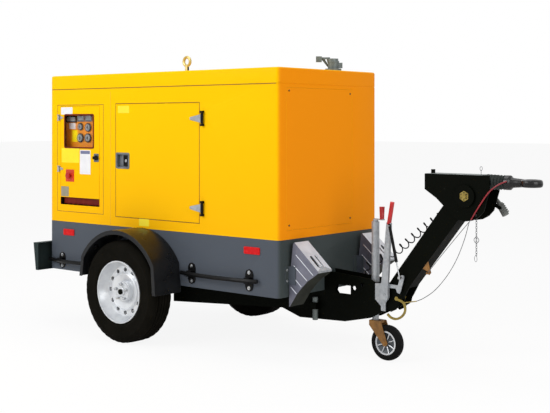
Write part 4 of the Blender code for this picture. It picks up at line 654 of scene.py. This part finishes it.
CONTROL_XS, CONTROL_ZS = (-2.005, -1.522), (0.780, 1.518)
DOOR_XS, DOOR_ZS = (-1.4035, -0.6325), (0.7715, 1.5225)
SEAM_XS, SEAM_ZS = (-1.4535, -1.4500), (0.716, 1.60)
# Painted shadow line round the control section's joint.
line_frame("control_section_gap_shadow", CONTROL_XS, CONTROL_ZS, 0.0035, seam_shadow_paint, "chassis")
# The upright panel seam's groove is a painted shade strip.
for side, word in SIDES:
    back, front = on_wall(side)
    joint = add_box(bmesh.new(), (SEAM_XS[0], back, SEAM_ZS[0]), (SEAM_XS[1], front, SEAM_ZS[1]))
    piece("panel_seam_shadow_" + word, joint, joint_shadow_paint, "chassis")
# Painted shadow lines round the service doors.
for side, word in SIDES:
    line_frame("door_gap_shadow_" + word, DOOR_XS, DOOR_ZS, 0.003, seam_shadow_paint, "chassis", side * SIDE)
# The roof seam is a painted shadow line: a dark strip just under the lid's lower edge.
seam_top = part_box("roof_lid")[0].z
wall_low, wall_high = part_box("canopy_body")
seam_ends = (wall_low.x - SHIFT + 0.02, wall_high.x - SHIFT - 0.02)
seam = bmesh.new()
for side in (NEAR, FAR):
    back, front = on_wall(side)
    add_box(seam, (seam_ends[0], back, seam_top - 0.0045), (seam_ends[1], front, seam_top - 0.0005))
piece("roof_gap_shadow", seam, seam_shadow_paint, "chassis")

sticker("white_plate", (-1.965, -1.843), (1.451, 1.501), white_label, "control_door")
sticker("yellow_plate", (-1.958, -1.773), (1.119, 1.219), lemon_label, "control_door")
sticker("data_plate", (-1.763, -1.654), (1.044, 1.208), white_label, "control_door", thick=0.0012)
sticker("data_plate_header", (-1.757, -1.660), (1.182, 1.203), blue_label, "control_door", thick=0.0016)
sticker("grey_plate", (-1.9625, -1.882), (0.886, 0.954), grey_label, "control_door", thick=0.0012)
sticker("yellow_plate_door", (-1.378, -1.271), (1.458, 1.505), lemon_label, "service_door_near")
sticker("yellow_plate_low", (-1.176, -1.082), (0.727, 0.773), lemon_label, "chassis")


def reflector(name, x0, x1, side):
    """A red reflector on the skid's side."""
    y = side * SIDE
    shape = bmesh.new()
    outline = rounded((x0, x1), (0.618, 0.661), 0.006, 4)
    add_plate(shape, outline, "XZ", y + side * 0.0003, y + side * 0.006)
    piece(name, shape, lens, "chassis", bevel=0.0012)


for side, word in SIDES:
    reflector("reflector_rear_" + word, -1.933, -1.821, side)
    reflector("reflector_front_" + word, -0.266, -0.142, side)


def bolts(name, places, axis, radius, height, shader, body, washer=0.0):
    """Hexagon heads with round tips, along an axis, and a washer where its radius is given."""
    shape = bmesh.new()
    direction = Vector(axis)
    washer_height, tip_height = 0.002, 0.003
    for place in places:
        foot = Vector(place)
        if washer:
            add_rod(shape, foot, foot + direction * washer_height, washer, 20)
        add_rod(shape, foot + direction * 0.001, foot + direction * height, radius, 6)
        tip = (foot + direction * (height - 0.0005), foot + direction * (height + tip_height))
        add_rod(shape, *tip, radius * 0.5, 12)
    return piece(name, shape, shader, body, bevel=0.0005, smooth=30)


# The screws' hexagons are sunk, so that a lifted chock clears their tips.
screws = [(-0.0035, y, z) for y, z in ((-0.401, 1.583), (-0.401, 0.793), (0.206, 1.575), (0.206, 0.797))]
# The sunk screw heads are drawn dark as painted shade.
bolts("front_screws", screws, (1, 0, 0), 0.011, 0.003, hollow_shadow, "chassis")
flanges = [(0.0005, side * 0.424, z) for side in (NEAR, FAR) for z in (0.535, 0.471)]
bolts("flange_bolts", flanges, (1, 0, 0), 0.009, 0.006, steel, "chassis", 0.014)
for side, word in SIDES:
    face = side * (SIDE + 0.006)
    places = [(x, face, 0.4625 + z) for x in (-0.697, -0.224) for z in (-0.046, 0.046)]
    places += [(x, face, 0.443 + z) for x in (-1.945, -1.644) for z in (-0.037, 0.037)]
    bolts("tie_bolts_" + word, places, (0, side, 0), 0.008, 0.005, steel, "chassis", 0.0115)


LATCH_XS, LATCH_ZS = (-1.397, -1.267), (1.092, 1.198)
KEY_X, KEY_Z = -1.300, 1.145


def latch(side, word):
    """The grey frame and bright back of a door's recessed latch."""
    y = side * SIDE
    shape = bmesh.new()
    outer, inner = grown(LATCH_XS, LATCH_ZS, 0, 0.012), grown(LATCH_XS, LATCH_ZS, -0.012, 0.008)
    add_frame(shape, outer, inner, (y - side * 0.0005, y + side * 0.0035))
    piece("latch_frame_" + word, shape, bezel, "service_door_" + word, bevel=0.0008, smooth=40)
    low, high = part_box("latch_paddle_" + word)
    key_y = low.y if side < 0 else high.y
    key = bmesh.new()
    add_rod(key, (KEY_X, key_y - side * 0.001, KEY_Z), (KEY_X, key_y + side * 0.003, KEY_Z), 0.010, 20)
    piece("latch_key_" + word, key, steel, "latch_" + word, bevel=0.0008, smooth=40)
    refine("latch_paddle_" + word, gloss_black, "latch_" + word, 0.001)


for side, word in SIDES:
    latch(side, word)
refine("control_door_lock", gloss_black, "door_lock", 0.0008)
refine("emergency_stop", red, "stop_button", 0.0012, smooth=40)
sticker("lock_plate", (-1.619, -1.570), (1.130, 1.186), bezel, "control_door", thick=0.0022, radius=0.006)

# The dark cable opening under the control door is painted shade: a maroon sheet set back inside the wall.
OPENING_SHADE_XS, OPENING_SHADE_TOP, OPENING_SHADE_LOW, OPENING_SHADE_STEPS = (-1.960, -1.570), 0.8792, 0.8335, 26
opening_shade_step = (OPENING_SHADE_XS[1] - OPENING_SHADE_XS[0]) / OPENING_SHADE_STEPS
opening_shade_edge = [
    (OPENING_SHADE_XS[0] + opening_shade_step * i, OPENING_SHADE_LOW + 0.003 * math.sin(i * 1.7)) for i in range(OPENING_SHADE_STEPS + 1)
]
opening_shade_outline = [*opening_shade_edge, (OPENING_SHADE_XS[1], OPENING_SHADE_TOP), (OPENING_SHADE_XS[0], OPENING_SHADE_TOP)]
opening_shade = add_plate(bmesh.new(), opening_shade_outline, "XZ", -0.4700, -0.4660)
piece("cable_opening_shade", opening_shade, maroon, "chassis", bevel=0.0006)


PANEL_FACE = -0.4370


def add_tile(shape, xs, zs, radius, low, high):
    """A round-cornered tile between two distances in front of the panel."""
    add_plate(shape, rounded(xs, zs, radius, 3), "XZ", PANEL_FACE - low, PANEL_FACE - high)


def instruments():
    """Meters, switches and plates on the panel behind the window."""
    face = PANEL_FACE
    rims, faces, darks = bmesh.new(), bmesh.new(), bmesh.new()
    for x in (-1.8175, -1.7365):
        add_tile(rims, (x - 0.034, x + 0.034), (1.402, 1.444), 0.004, 0.0004, 0.009)
        add_tile(faces, (x - 0.028, x + 0.028), (1.412, 1.440), 0.003, 0.0085, 0.0098)
    knobs = ((-1.8225, 1.367, 0.026), (-1.7415, 1.362, 0.030), (-1.822, 1.290, 0.032), (-1.742, 1.290, 0.032))
    for x, z, r in knobs:
        add_rod(darks, (x, face - 0.0004, z), (x, face - 0.010, z), r, 32)
        add_rod(faces, (x, face - 0.0095, z), (x, face - 0.012, z), r * 0.74, 28)
        add_rod(rims, (x, face - 0.0115, z), (x, face - 0.020, z), r * 0.22, 16)
        add_box(rims, (x - 0.003, face - 0.016, z - r * 0.5), (x + 0.003, face - 0.012, z + r * 0.5))
    add_tile(darks, (-1.966, -1.863), (1.396, 1.442), 0.004, 0.0004, 0.012)
    add_tile(faces, (-1.958, -1.871), (1.404, 1.434), 0.003, 0.0115, 0.0125)
    piece("meter_bodies", darks, plastic, "chassis", bevel=0.0008, smooth=35)
    piece("meter_rims", rims, bezel, "chassis", bevel=0.0006, smooth=35)
    piece("meter_faces", faces, meter, "chassis", smooth=35)
    sticker("panel_plate_pink", (-1.946, -1.880), (1.350, 1.392), white_label, "chassis", y=face)
    sticker("panel_plate_yellow", (-1.916, -1.860), (1.262, 1.343), lemon_label, "chassis", y=face)
    for i, x in enumerate((-1.66, -1.62, -1.58)):
        switch = bmesh.new()
        add_tile(switch, (x - 0.013, x + 0.013), (1.30, 1.36), 0.003, 0.0004, 0.02)
        piece("breaker_%d" % i, switch, plastic, "chassis", bevel=0.001)


instruments()
WINDOW_XS, WINDOW_ZS = (-1.924, -1.624), (1.225, 1.448)
levels = (-SIDE - 0.0002, -SIDE - 0.0028)
outer, inner = grown(WINDOW_XS, WINDOW_ZS, 0.006, 0.014), grown(WINDOW_XS, WINDOW_ZS, -0.003, 0.009)
rim = add_frame(bmesh.new(), outer, inner, levels)
piece("window_seal", rim, maroon, "control_door", smooth=40)


# Roof

lift_low, lift_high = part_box("lifting_frame")
eye_zone = ((lift_low.x - SHIFT - 0.01, -0.2, 1.756), (lift_high.x - SHIFT + 0.01, 0.2, 1.90), lift_gold)
refine("lifting_frame", black, "chassis", 0.002, [eye_zone], smooth=45)
refine("exhaust_outlet", dull_zinc, "chassis", 0.001, smooth=40)
refine("rain_cap", dull_zinc, "rain_cap", 0.0008, smooth=40)


# Wheels, mudguards and axle

WHEEL_X, WHEEL_Z, TYRE_Y = -1.151, 0.32343, 0.615
DISC, PLATEAU = 0.022, 0.052


def wheel_frame(side):
    """A wheel's middle, with Z pointing out of the trailer."""
    middle = Matrix.Translation(at(WHEEL_X, side * TYRE_Y, WHEEL_Z))
    return middle @ Matrix.Rotation(-side * math.pi / 2, 4, "X")


def tyre(side, word):
    """A road tyre: rounded sidewalls with raised rings, four grooves round it and blocks at the shoulders."""
    low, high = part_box("tyre_" + word)
    half = (high.y - low.y) / 2
    radius = WHEEL_Z
    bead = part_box("wheel_rim_" + word)[1].z - WHEEL_Z - 0.004
    sidewall = ((0.0, 0.020), (0.010, 0.010), (0.022, 0.004), (0.030, 0.0022), (0.034, 0.0038))
    sidewall += ((0.060, 0.0004), (0.086, 0.003), (0.090, 0.0018))
    edge = ((0.030, 0.006), (0.014, 0.013), (0.005, 0.022))
    wall = [(bead + r, h - half) for r, h in sidewall] + [(radius - r, h - half) for r, h in edge]
    crown = []
    spans = (-half + 0.028, -0.040, -0.0345, -0.0145, -0.009, 0.009, 0.0145, 0.0345, 0.040, half - 0.028)
    for index, (a, b) in enumerate(zip(spans[::2], spans[1::2])):
        top = radius if index in (1, 2, 3) else radius - 0.0015
        crown += [(top - 0.007, a - 0.0008), (top, a), (top, b), (top - 0.007, b + 0.0008)]
    profile = wall + crown[1:-1] + [(r, -h) for r, h in wall][::-1]
    shape = bmesh.new()
    matrix = wheel_frame(side)
    rings = []
    for i, turn in enumerate(turns(120)):
        notch = i % 3 == 0
        ring = []
        for r, h in profile:
            shoulder = abs(h) > 0.040 and r > radius - 0.020
            reach = r - 0.002 if notch and shoulder else r
            ring.append(shape.verts.new(matrix @ Vector((reach * math.cos(turn), reach * math.sin(turn), h))))
        rings.append(ring)
    skin(shape, rings)
    obj = piece("tyre_shown_" + word, shape, tread, "wheel_" + word, "tyre_rubber", smooth=38)
    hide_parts("tyre_" + word)


def wheel_details(side, word):
    """The rim with its hub cap, nuts, pressed rings, and dark rings painted as shade at its holes."""
    body = "wheel_" + word
    refine("wheel_rim_" + word, silver, body, 0.0012, smooth=45)
    middle = wheel_frame(side)
    hole_circle, nut_circle = 0.137, 0.049
    hub = add_turned(bmesh.new(), [(0.026, 0.062), (0.030, 0.058), (0.031, 0.030)], middle, 32)
    piece("hub_cap_" + word, hub, silver, body, bevel=0.001, smooth=35)
    nuts = bmesh.new()
    out = Vector((0, side, 0))
    for turn in turns(5, math.radians(18)):
        across, up = nut_circle * math.cos(turn), nut_circle * math.sin(turn)
        foot = Vector((WHEEL_X + across, side * (TYRE_Y + PLATEAU - 0.002), WHEEL_Z + up))
        add_rod(nuts, foot, foot + out * 0.020, 0.0105, 6)
        add_rod(nuts, foot + out * 0.019, foot + out * 0.024, 0.007, 16, 0.004)
    piece("wheel_nuts_" + word, nuts, steel, body, bevel=0.001, smooth=35)
    presses = bmesh.new()
    bead = 0.0028
    for radius, height in ((0.064, PLATEAU - 0.012), (0.117, DISC + 0.0095), (0.160, DISC + 0.0005)):
        ring = [(radius + bead * math.cos(a), height + bead * math.sin(a)) for a in turns(8)]
        add_turned(presses, ring, middle, 56, closed=True)
    piece("rim_rings_" + word, presses, silver, body, smooth=60)
    # Dark rings at the rim's holes: painted shade.
    edges = bmesh.new()
    washer = [(0.0083, 0.0), (0.0130, 0.0), (0.0130, 0.0006), (0.0083, 0.0006)]
    for turn in turns(12):
        spot = Vector((hole_circle * math.cos(turn), hole_circle * math.sin(turn), DISC + 0.0002))
        add_turned(edges, washer, middle @ Matrix.Translation(spot), 16, closed=True)
    piece("rim_hole_edges_" + word, edges, hollow_shadow, body, smooth=35)


for side, word in SIDES:
    tyre(side, word)
    wheel_details(side, word)
    refine("mudguard_" + word, guard_plastic, "chassis", 0.003, smooth=50)
    refine("suspension_arm_" + word, black, "suspension_" + word, 0.002)
refine("axle_tube", black, "chassis", 0.002)


# Nose, drawbar and coupling

refine("drawbar_nose", black, "chassis", 0.0018)
refine("support_leg", dull_zinc, "support_leg", 0.001)
cable_lug = ((0.72, -0.08, 0.525), (0.78, -0.0435, 0.56), bronze)
refine("drawbar_arm", black, "drawbar", 0.002, [cable_lug])
refine("coupling_housing", black, "coupling", 0.0016)
refine("overrun_shaft", zinc, "overrun", 0.001)
refine("clamp_handle", gold, "clamp_handle", 0.0016)

dress("lead_plug", plug_grey)
(x0, z0), (x1, z1) = TAIL_ROUTE[-2:]
plug_start = Vector((x1, LEAD_Y, z1))
plug_run = (plug_start - Vector((x0, LEAD_Y, z0))).normalized()
ridges = bmesh.new()
for i in range(5):
    spot = plug_start + plug_run * (0.042 + 0.012 * i)
    add_rod(ridges, spot, spot + plug_run * 0.005, 0.0212, 24)
piece("plug_ridges", ridges, plug_grey, "coupling", bevel=0.0006, smooth=40)

PIVOT = Vector((0.97411, 0.99016))
SHAFT_Z = 1.07016
NUT_BACK, NUT_FACE, STUD_END = -0.0718, -0.0735, -0.080
nut = add_rod(bmesh.new(), (PIVOT.x, NUT_BACK, PIVOT.y), (PIVOT.x, NUT_FACE, PIVOT.y), 0.030, 6)
piece("pivot_nut", nut, gold, "coupling", bevel=0.001)
stub = add_rod(bmesh.new(), (PIVOT.x, -0.073, PIVOT.y), (PIVOT.x, STUD_END, PIVOT.y), 0.014, 20)
piece("pivot_stud", stub, gold, "coupling", bevel=0.001, smooth=35)
# Dark spots on the nut: painted shade in its hollows.
marks = bmesh.new()
for turn in turns(6, math.radians(30)):
    x, z = PIVOT.x + 0.021 * math.cos(turn), PIVOT.y + 0.021 * math.sin(turn)
    add_rod(marks, (x, -0.0734, z), (x, -0.0739, z), 0.0035, 10)
piece("pivot_nut_marks", marks, hollow_shadow, "coupling", smooth=35)


def add_link(shape, centre, across, up, half_wide, half_long, wire, steps=14, sides=6):
    """A closed oval of round wire."""
    normal = across.cross(up)
    rings = []
    for turn in turns(steps):
        out = across * math.cos(turn) * half_wide + up * math.sin(turn) * half_long
        spot, out = centre + out, out.normalized()
        ring = [spot + (out * math.cos(a) + normal * math.sin(a)) * wire for a in turns(sides)]
        rings.append([shape.verts.new(point) for point in ring])
    skin(shape, rings)


UP, ALONG, ACROSS = Vector((0, 0, 1)), Vector((1, 0, 0)), Vector((0, 1, 0))
CHAIN_X, CHAIN_Y, CHAIN_TOP, LINK = 1.042, -0.056, 0.888, 0.0135
chain = bmesh.new()
for i in range(17):
    centre = at(CHAIN_X, CHAIN_Y, CHAIN_TOP - LINK * i)
    add_link(chain, centre, ALONG if i % 2 else ACROSS, UP, 0.0048, 0.0088, 0.0013)
add_link(chain, at(CHAIN_X, CHAIN_Y, 0.752), ALONG, UP, 0.0150, 0.0150, 0.0018, 24)
add_link(chain, at(CHAIN_X - 0.004, CHAIN_Y, 0.650), ALONG, UP, 0.0080, 0.0170, 0.0015, 20)
piece("safety_chain", chain, wire_steel, "coupling", smooth=60)
HOUSING_TOP, CLIP_X = 1.1085, 1.040
clip = bmesh.new()
add_link(clip, at(CLIP_X, 0, HOUSING_TOP + 0.0335), ALONG, UP, 0.0075, 0.0110, 0.0014, 20)
add_rod(clip, (CLIP_X, 0, HOUSING_TOP), (CLIP_X, 0, HOUSING_TOP + 0.0255), 0.0016, 8)
piece("spring_clip", clip, wire_steel, "coupling", smooth=60)

# Painted highlight: a light strip along the top edge of the black housing.
strip = add_box(bmesh.new(), (0.716, -0.0595, HOUSING_TOP - 0.0015), (1.070, 0.0595, HOUSING_TOP))
piece("housing_edge_highlight", strip, dull_zinc, "coupling", bevel=0.0006)


def along_shaft(x):
    """A place on the towing shaft, with Z pointing forwards."""
    return Matrix.Translation((x, 0, SHAFT_Z)) @ Matrix.Rotation(math.pi / 2, 4, "Y")


def bellows():
    """Six rubber folds over the shaft."""
    low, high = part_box("bellows")
    length = high.x - low.x
    radius = (high.z - low.z) / 2
    inner = 0.0262
    profile = [(inner, 0.0)]
    folds = 6
    pitch = length / folds
    wave = ((0.02, 0.011), (0.18, 0.010), (0.38, 0.002), (0.50, 0.0), (0.62, 0.002), (0.82, 0.010))
    for fold in range(folds):
        for share, depth in wave:
            profile.append((radius - depth - 0.0006 * fold, (fold + share) * pitch))
    profile += [(radius - 0.014, length), (inner, length)]
    shape = add_turned(bmesh.new(), profile, along_shaft(low.x), 40, closed=True)
    obj = new_mesh("bellows_shown", shape)
    finish_piece(obj, boot_rubber, None, "black_rubber", smooth=50)
    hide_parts("bellows")
    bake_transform(obj)


bellows()


def towing_eye():
    """The forged eye: a collar, a waisted neck and a thick ring."""
    low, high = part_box("towing_eye")
    outer, inner = 0.060, 0.0275
    centre = high.x - outer
    half = min((high.z - low.z) / 2, 0.021)
    shape = bmesh.new()
    profile = []
    middle = (outer + inner) / 2
    wide = (outer - inner) / 2
    power = 0.75
    for turn in turns(20):
        c, s = math.cos(turn), math.sin(turn)
        profile.append((
            middle + wide * math.copysign(abs(c) ** power, c),
            half * math.copysign(abs(s) ** power, s),
        ))
    add_turned(shape, profile, Matrix.Translation((centre, 0, SHAFT_Z)), 48, closed=True)
    ring = new_mesh("towing_ring", shape)
    finish_piece(ring, forged, "overrun", "forged_black", smooth=50)
    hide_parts("towing_eye")
    start = low.x
    neck_end = centre - inner - 0.004
    length = neck_end - start
    profile = [(0.040, 0.0), (0.040, 0.026), (0.036, 0.030), (0.030, 0.034), (0.0265, 0.046)]
    profile += [(0.0245, length * 0.6), (0.0215, length - 0.010), (0.018, length)]
    neck = add_turned(bmesh.new(), profile, along_shaft(start), 40)
    piece("towing_neck", neck, forged, "overrun", "forged_black", bevel=0.0015, smooth=40)


towing_eye()


# Brake lever, strut and jockey wheel

refine("handbrake_bracket", zinc, "chassis", 0.0008)
lever_grip = ((0.474, -0.10, 0.812), (0.56, -0.05, 0.96), red)
refine("handbrake_lever", zinc, "brake_lever", 0.0012, [lever_grip], smooth=45)
refine("gas_strut_cylinder", gloss_black, "strut_cylinder", 0.0008)
refine("gas_strut_rod", steel, "strut_rod", 0.0006)
refine("jockey_outer_tube", zinc, "jockey_tube", 0.001, smooth=40)
refine("jockey_inner_leg", zinc, "jockey_leg", 0.001, smooth=40)
crank_grip = ((0.30, -0.2, 0.846), (0.50, 0.2, 0.99), red)
refine("jockey_crank", zinc, "jockey_crank", 0.0008, [crank_grip], smooth=45)
refine("jockey_fork", bronze, "jockey_fork", 0.0014)


def jockey_wheel():
    """A solid rubber tyre on a pressed steel centre."""
    low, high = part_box("jockey_wheel")
    half = (high.y - low.y) / 2
    middle = (low + high) / 2
    radius = (high.z - low.z) / 2
    matrix = Matrix.Translation(middle) @ Matrix.Rotation(math.pi / 2, 4, "X")
    inner = radius - 0.034
    wall = [(inner, 0.004 - half), (inner + 0.008, -half), (radius - 0.012, -half)]
    wall += [(radius - 0.003, 0.006 - half), (radius - 0.0008, 0.014 - half)]
    profile = wall + [(radius, -0.004), (radius, 0.004)] + [(r, -h) for r, h in wall][::-1]
    shape = add_turned(bmesh.new(), profile, matrix, 56, closed=True)
    obj = piece("jockey_tyre", shape, rubber, "jockey_wheel", "black_rubber", smooth=40)
    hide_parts("jockey_wheel")
    disc = [(0.0115, 0.022), (0.020, 0.022), (0.024, 0.012), (0.036, 0.008), (0.050, 0.012), (0.060, 0.018)]
    disc += [(inner + 0.0005, 0.020)]
    back = [(r, -h) for r, h in disc][::-1]
    centre = add_turned(bmesh.new(), disc + back, matrix, 48, closed=True)
    piece("jockey_disc", centre, iron, "jockey_wheel", smooth=40)
    spokes = bmesh.new()
    for side in (-1, 1):
        foot = Vector((middle.x - SHIFT, middle.y + side * 0.0165, middle.z))
        for turn in turns(8, math.radians(20)):
            out = Vector((math.cos(turn), 0, math.sin(turn)))
            end = foot + out * (inner - 0.004) + Vector((0, side * 0.003, 0))
            add_rod(spokes, foot + out * 0.022, end, 0.0032, 8)
        (r0, r1), (h0, h1) = (inner - 0.009, inner + 0.0004), (side * 0.0185, side * 0.0225)
        flange = [(r0, h0), (r1, h0), (r1, h1), (r0, h1)]
        add_turned(spokes, flange, matrix, 48, closed=True)
    bmesh.ops.recalc_face_normals(spokes, faces=spokes.faces)
    piece("jockey_spokes", spokes, silver, "jockey_wheel", smooth=40)


jockey_wheel()


# Chocks in their holders

CHOCK_Y, CHOCK_HALF = 0.341, 0.065
CHOCK_CURVE = ((0.009, 0.319), (0.062, 0.397), (0.099, 0.438), (0.141, 0.479), (0.185, 0.508), (0.218, 0.532))
CHOCK_RIBS = (
    ((0.055, 0.626), (0.183, 0.517)), ((0.040, 0.562), (0.137, 0.483)),
    ((0.028, 0.502), (0.096, 0.444)), ((0.018, 0.436), (0.060, 0.400)),
)
for side, word in SIDES:
    middle = side * CHOCK_Y
    walls = (middle - CHOCK_HALF, middle + CHOCK_HALF)
    # The chock is one zinc part: its back and ribs are painted lit, and its curved tyre faces are painted in
    # shade.
    chock_zones = [((0.05, walls[0] + 0.001, 0.56), (0.23, walls[1] - 0.001, 0.71), painted_lit_zinc)]
    for (x0, z0), (x1, z1) in zip(CHOCK_CURVE, CHOCK_CURVE[1:]):
        x, z = (x0 + x1) / 2, (z0 + z1) / 2
        low, high = (x - 0.012, walls[0] + 0.001, z - 0.010), (x + 0.012, walls[1] - 0.001, z + 0.010)
        chock_zones.append((low, high, shade_zinc))
    for wall in walls:
        chock_zones.append(((0.0, wall - 0.0006, 0.30), (0.24, wall + 0.0006, 0.72), chock_face))
    refine("chock_" + word, zinc, "chock_" + word, 0.0012, chock_zones)
    ribs = bmesh.new()
    for wall in walls:
        for (x0, z0), (x1, z1) in CHOCK_RIBS:
            add_rod(ribs, (x0, wall, z0), (x1, wall, z1), 0.0030, 8)
    piece("chock_ribs_" + word, ribs, painted_lit_zinc, "chock_" + word, bevel=0.0008, smooth=50)


# Rear lamps, on the light bar

rear_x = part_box("rear_light_bar")[0].x - SHIFT
LAMP_ZS = (0.405, 0.525)
LAMP_PARTS = (
    ("body", 0.365, 0.575, plastic), ("red", 0.445, 0.515, lens),
    ("amber", 0.520, 0.568, amber), ("white", 0.372, 0.440, white_label),
)
for side, word in SIDES:
    for part, a, b, shader in LAMP_PARTS:
        deep, inset = (0.006, 0.0) if part == "body" else (0.012, 0.008)
        outline = rounded((side * a, side * b), (LAMP_ZS[0] + inset, LAMP_ZS[1] - inset), 0.008, 4)
        shape = add_plate(bmesh.new(), outline, "YZ", rear_x - 0.0003, rear_x - deep)
        piece("rear_lamp_%s_%s" % (part, word), shape, shader, "chassis", bevel=0.0015)
plate_lamp = add_box(bmesh.new(), (rear_x - 0.014, -0.045, 0.535), (rear_x - 0.0003, 0.045, 0.553))
piece("plate_lamp", plate_lamp, plastic, "chassis", bevel=0.002)


# Floor and light


def combine(tree, operation, first, second):
    """An output combined with another, or with a number."""
    node = tree.nodes.new("ShaderNodeMath")
    node.operation = operation
    tree.links.new(first, node.inputs[0])
    if isinstance(second, float):
        node.inputs[1].default_value = second
    else:
        tree.links.new(second, node.inputs[1])
    return node.outputs["Value"]


floor_mesh = bpy.data.meshes.new("floor")
REACH = 60
corners = [(-REACH, -REACH, 0), (REACH, -REACH, 0), (REACH, REACH, 0), (-REACH, REACH, 0)]
floor_mesh.from_pydata(corners, [], [(0, 1, 2, 3)])
floor = bpy.data.objects.new("floor", floor_mesh)
bpy.context.scene.collection.objects.link(floor)
floor_shader = Shader("floor", (250, 250, 250), 0.9, specular=0.1)
tree = floor_shader.tree
glow = tree.nodes.new("ShaderNodeEmission")
glow.inputs["Strength"].default_value = 1.0
ray = tree.nodes.new("ShaderNodeLightPath")
FLOOR_GLOW = 0.90
fade = combine(tree, "MULTIPLY", ray.outputs["Is Camera Ray"], FLOOR_GLOW)
blend_shader = tree.nodes.new("ShaderNodeMixShader")
tree.links.new(fade, blend_shader.inputs["Fac"])
tree.links.new(floor_shader.shader.outputs["BSDF"], blend_shader.inputs[1])
tree.links.new(glow.outputs["Emission"], blend_shader.inputs[2])
tree.links.new(blend_shader.outputs["Shader"], tree.nodes["Material Output"].inputs["Surface"])
floor_mesh.materials.append(floor_shader.made)

world = bpy.data.worlds.new("world")
bpy.context.scene.world = world
world.use_nodes = True
sky = world.node_tree
background = sky.nodes["Background"]
background.inputs["Color"].default_value = (1, 1, 1, 1)
seen = sky.nodes.new("ShaderNodeLightPath")
mirrored = combine(sky, "MAXIMUM", seen.outputs["Is Glossy Ray"], seen.outputs["Is Transmission Ray"])
direct = combine(sky, "MAXIMUM", seen.outputs["Is Camera Ray"], mirrored)
level = sky.nodes.new("ShaderNodeMapRange")
SKY_LIGHT = 0.44
level.inputs["To Min"].default_value = SKY_LIGHT
level.inputs["To Max"].default_value = 1.0
sky.links.new(direct, level.inputs["Value"])
sky.links.new(level.outputs["Result"], background.inputs["Strength"])


def lamp(name, place, target, size, power):
    """A white soft light aimed at a target."""
    data = bpy.data.lights.new(name, "AREA")
    data.shape = "RECTANGLE"
    data.size, data.size_y = size
    data.energy = power
    obj = bpy.data.objects.new(name, data)
    obj.location = place
    aim = Vector(target) - Vector(place)
    obj.rotation_euler = aim.to_track_quat("-Z", "Y").to_euler()
    bpy.context.scene.collection.objects.link(obj)


lamp("key", (-2.5, -6.0, 4.2), (-0.6, -0.4, 0.9), (4.0, 3.0), 219)
lamp("top", (-0.6, 0.0, 6.0), (-0.6, 0.0, 1.0), (5.0, 3.0), 110)
lamp("front_fill", (6.0, -1.5, 2.2), (0.4, 0.0, 0.9), (3.0, 2.5), 94)

bpy.context.scene.view_settings.view_transform = "Standard"
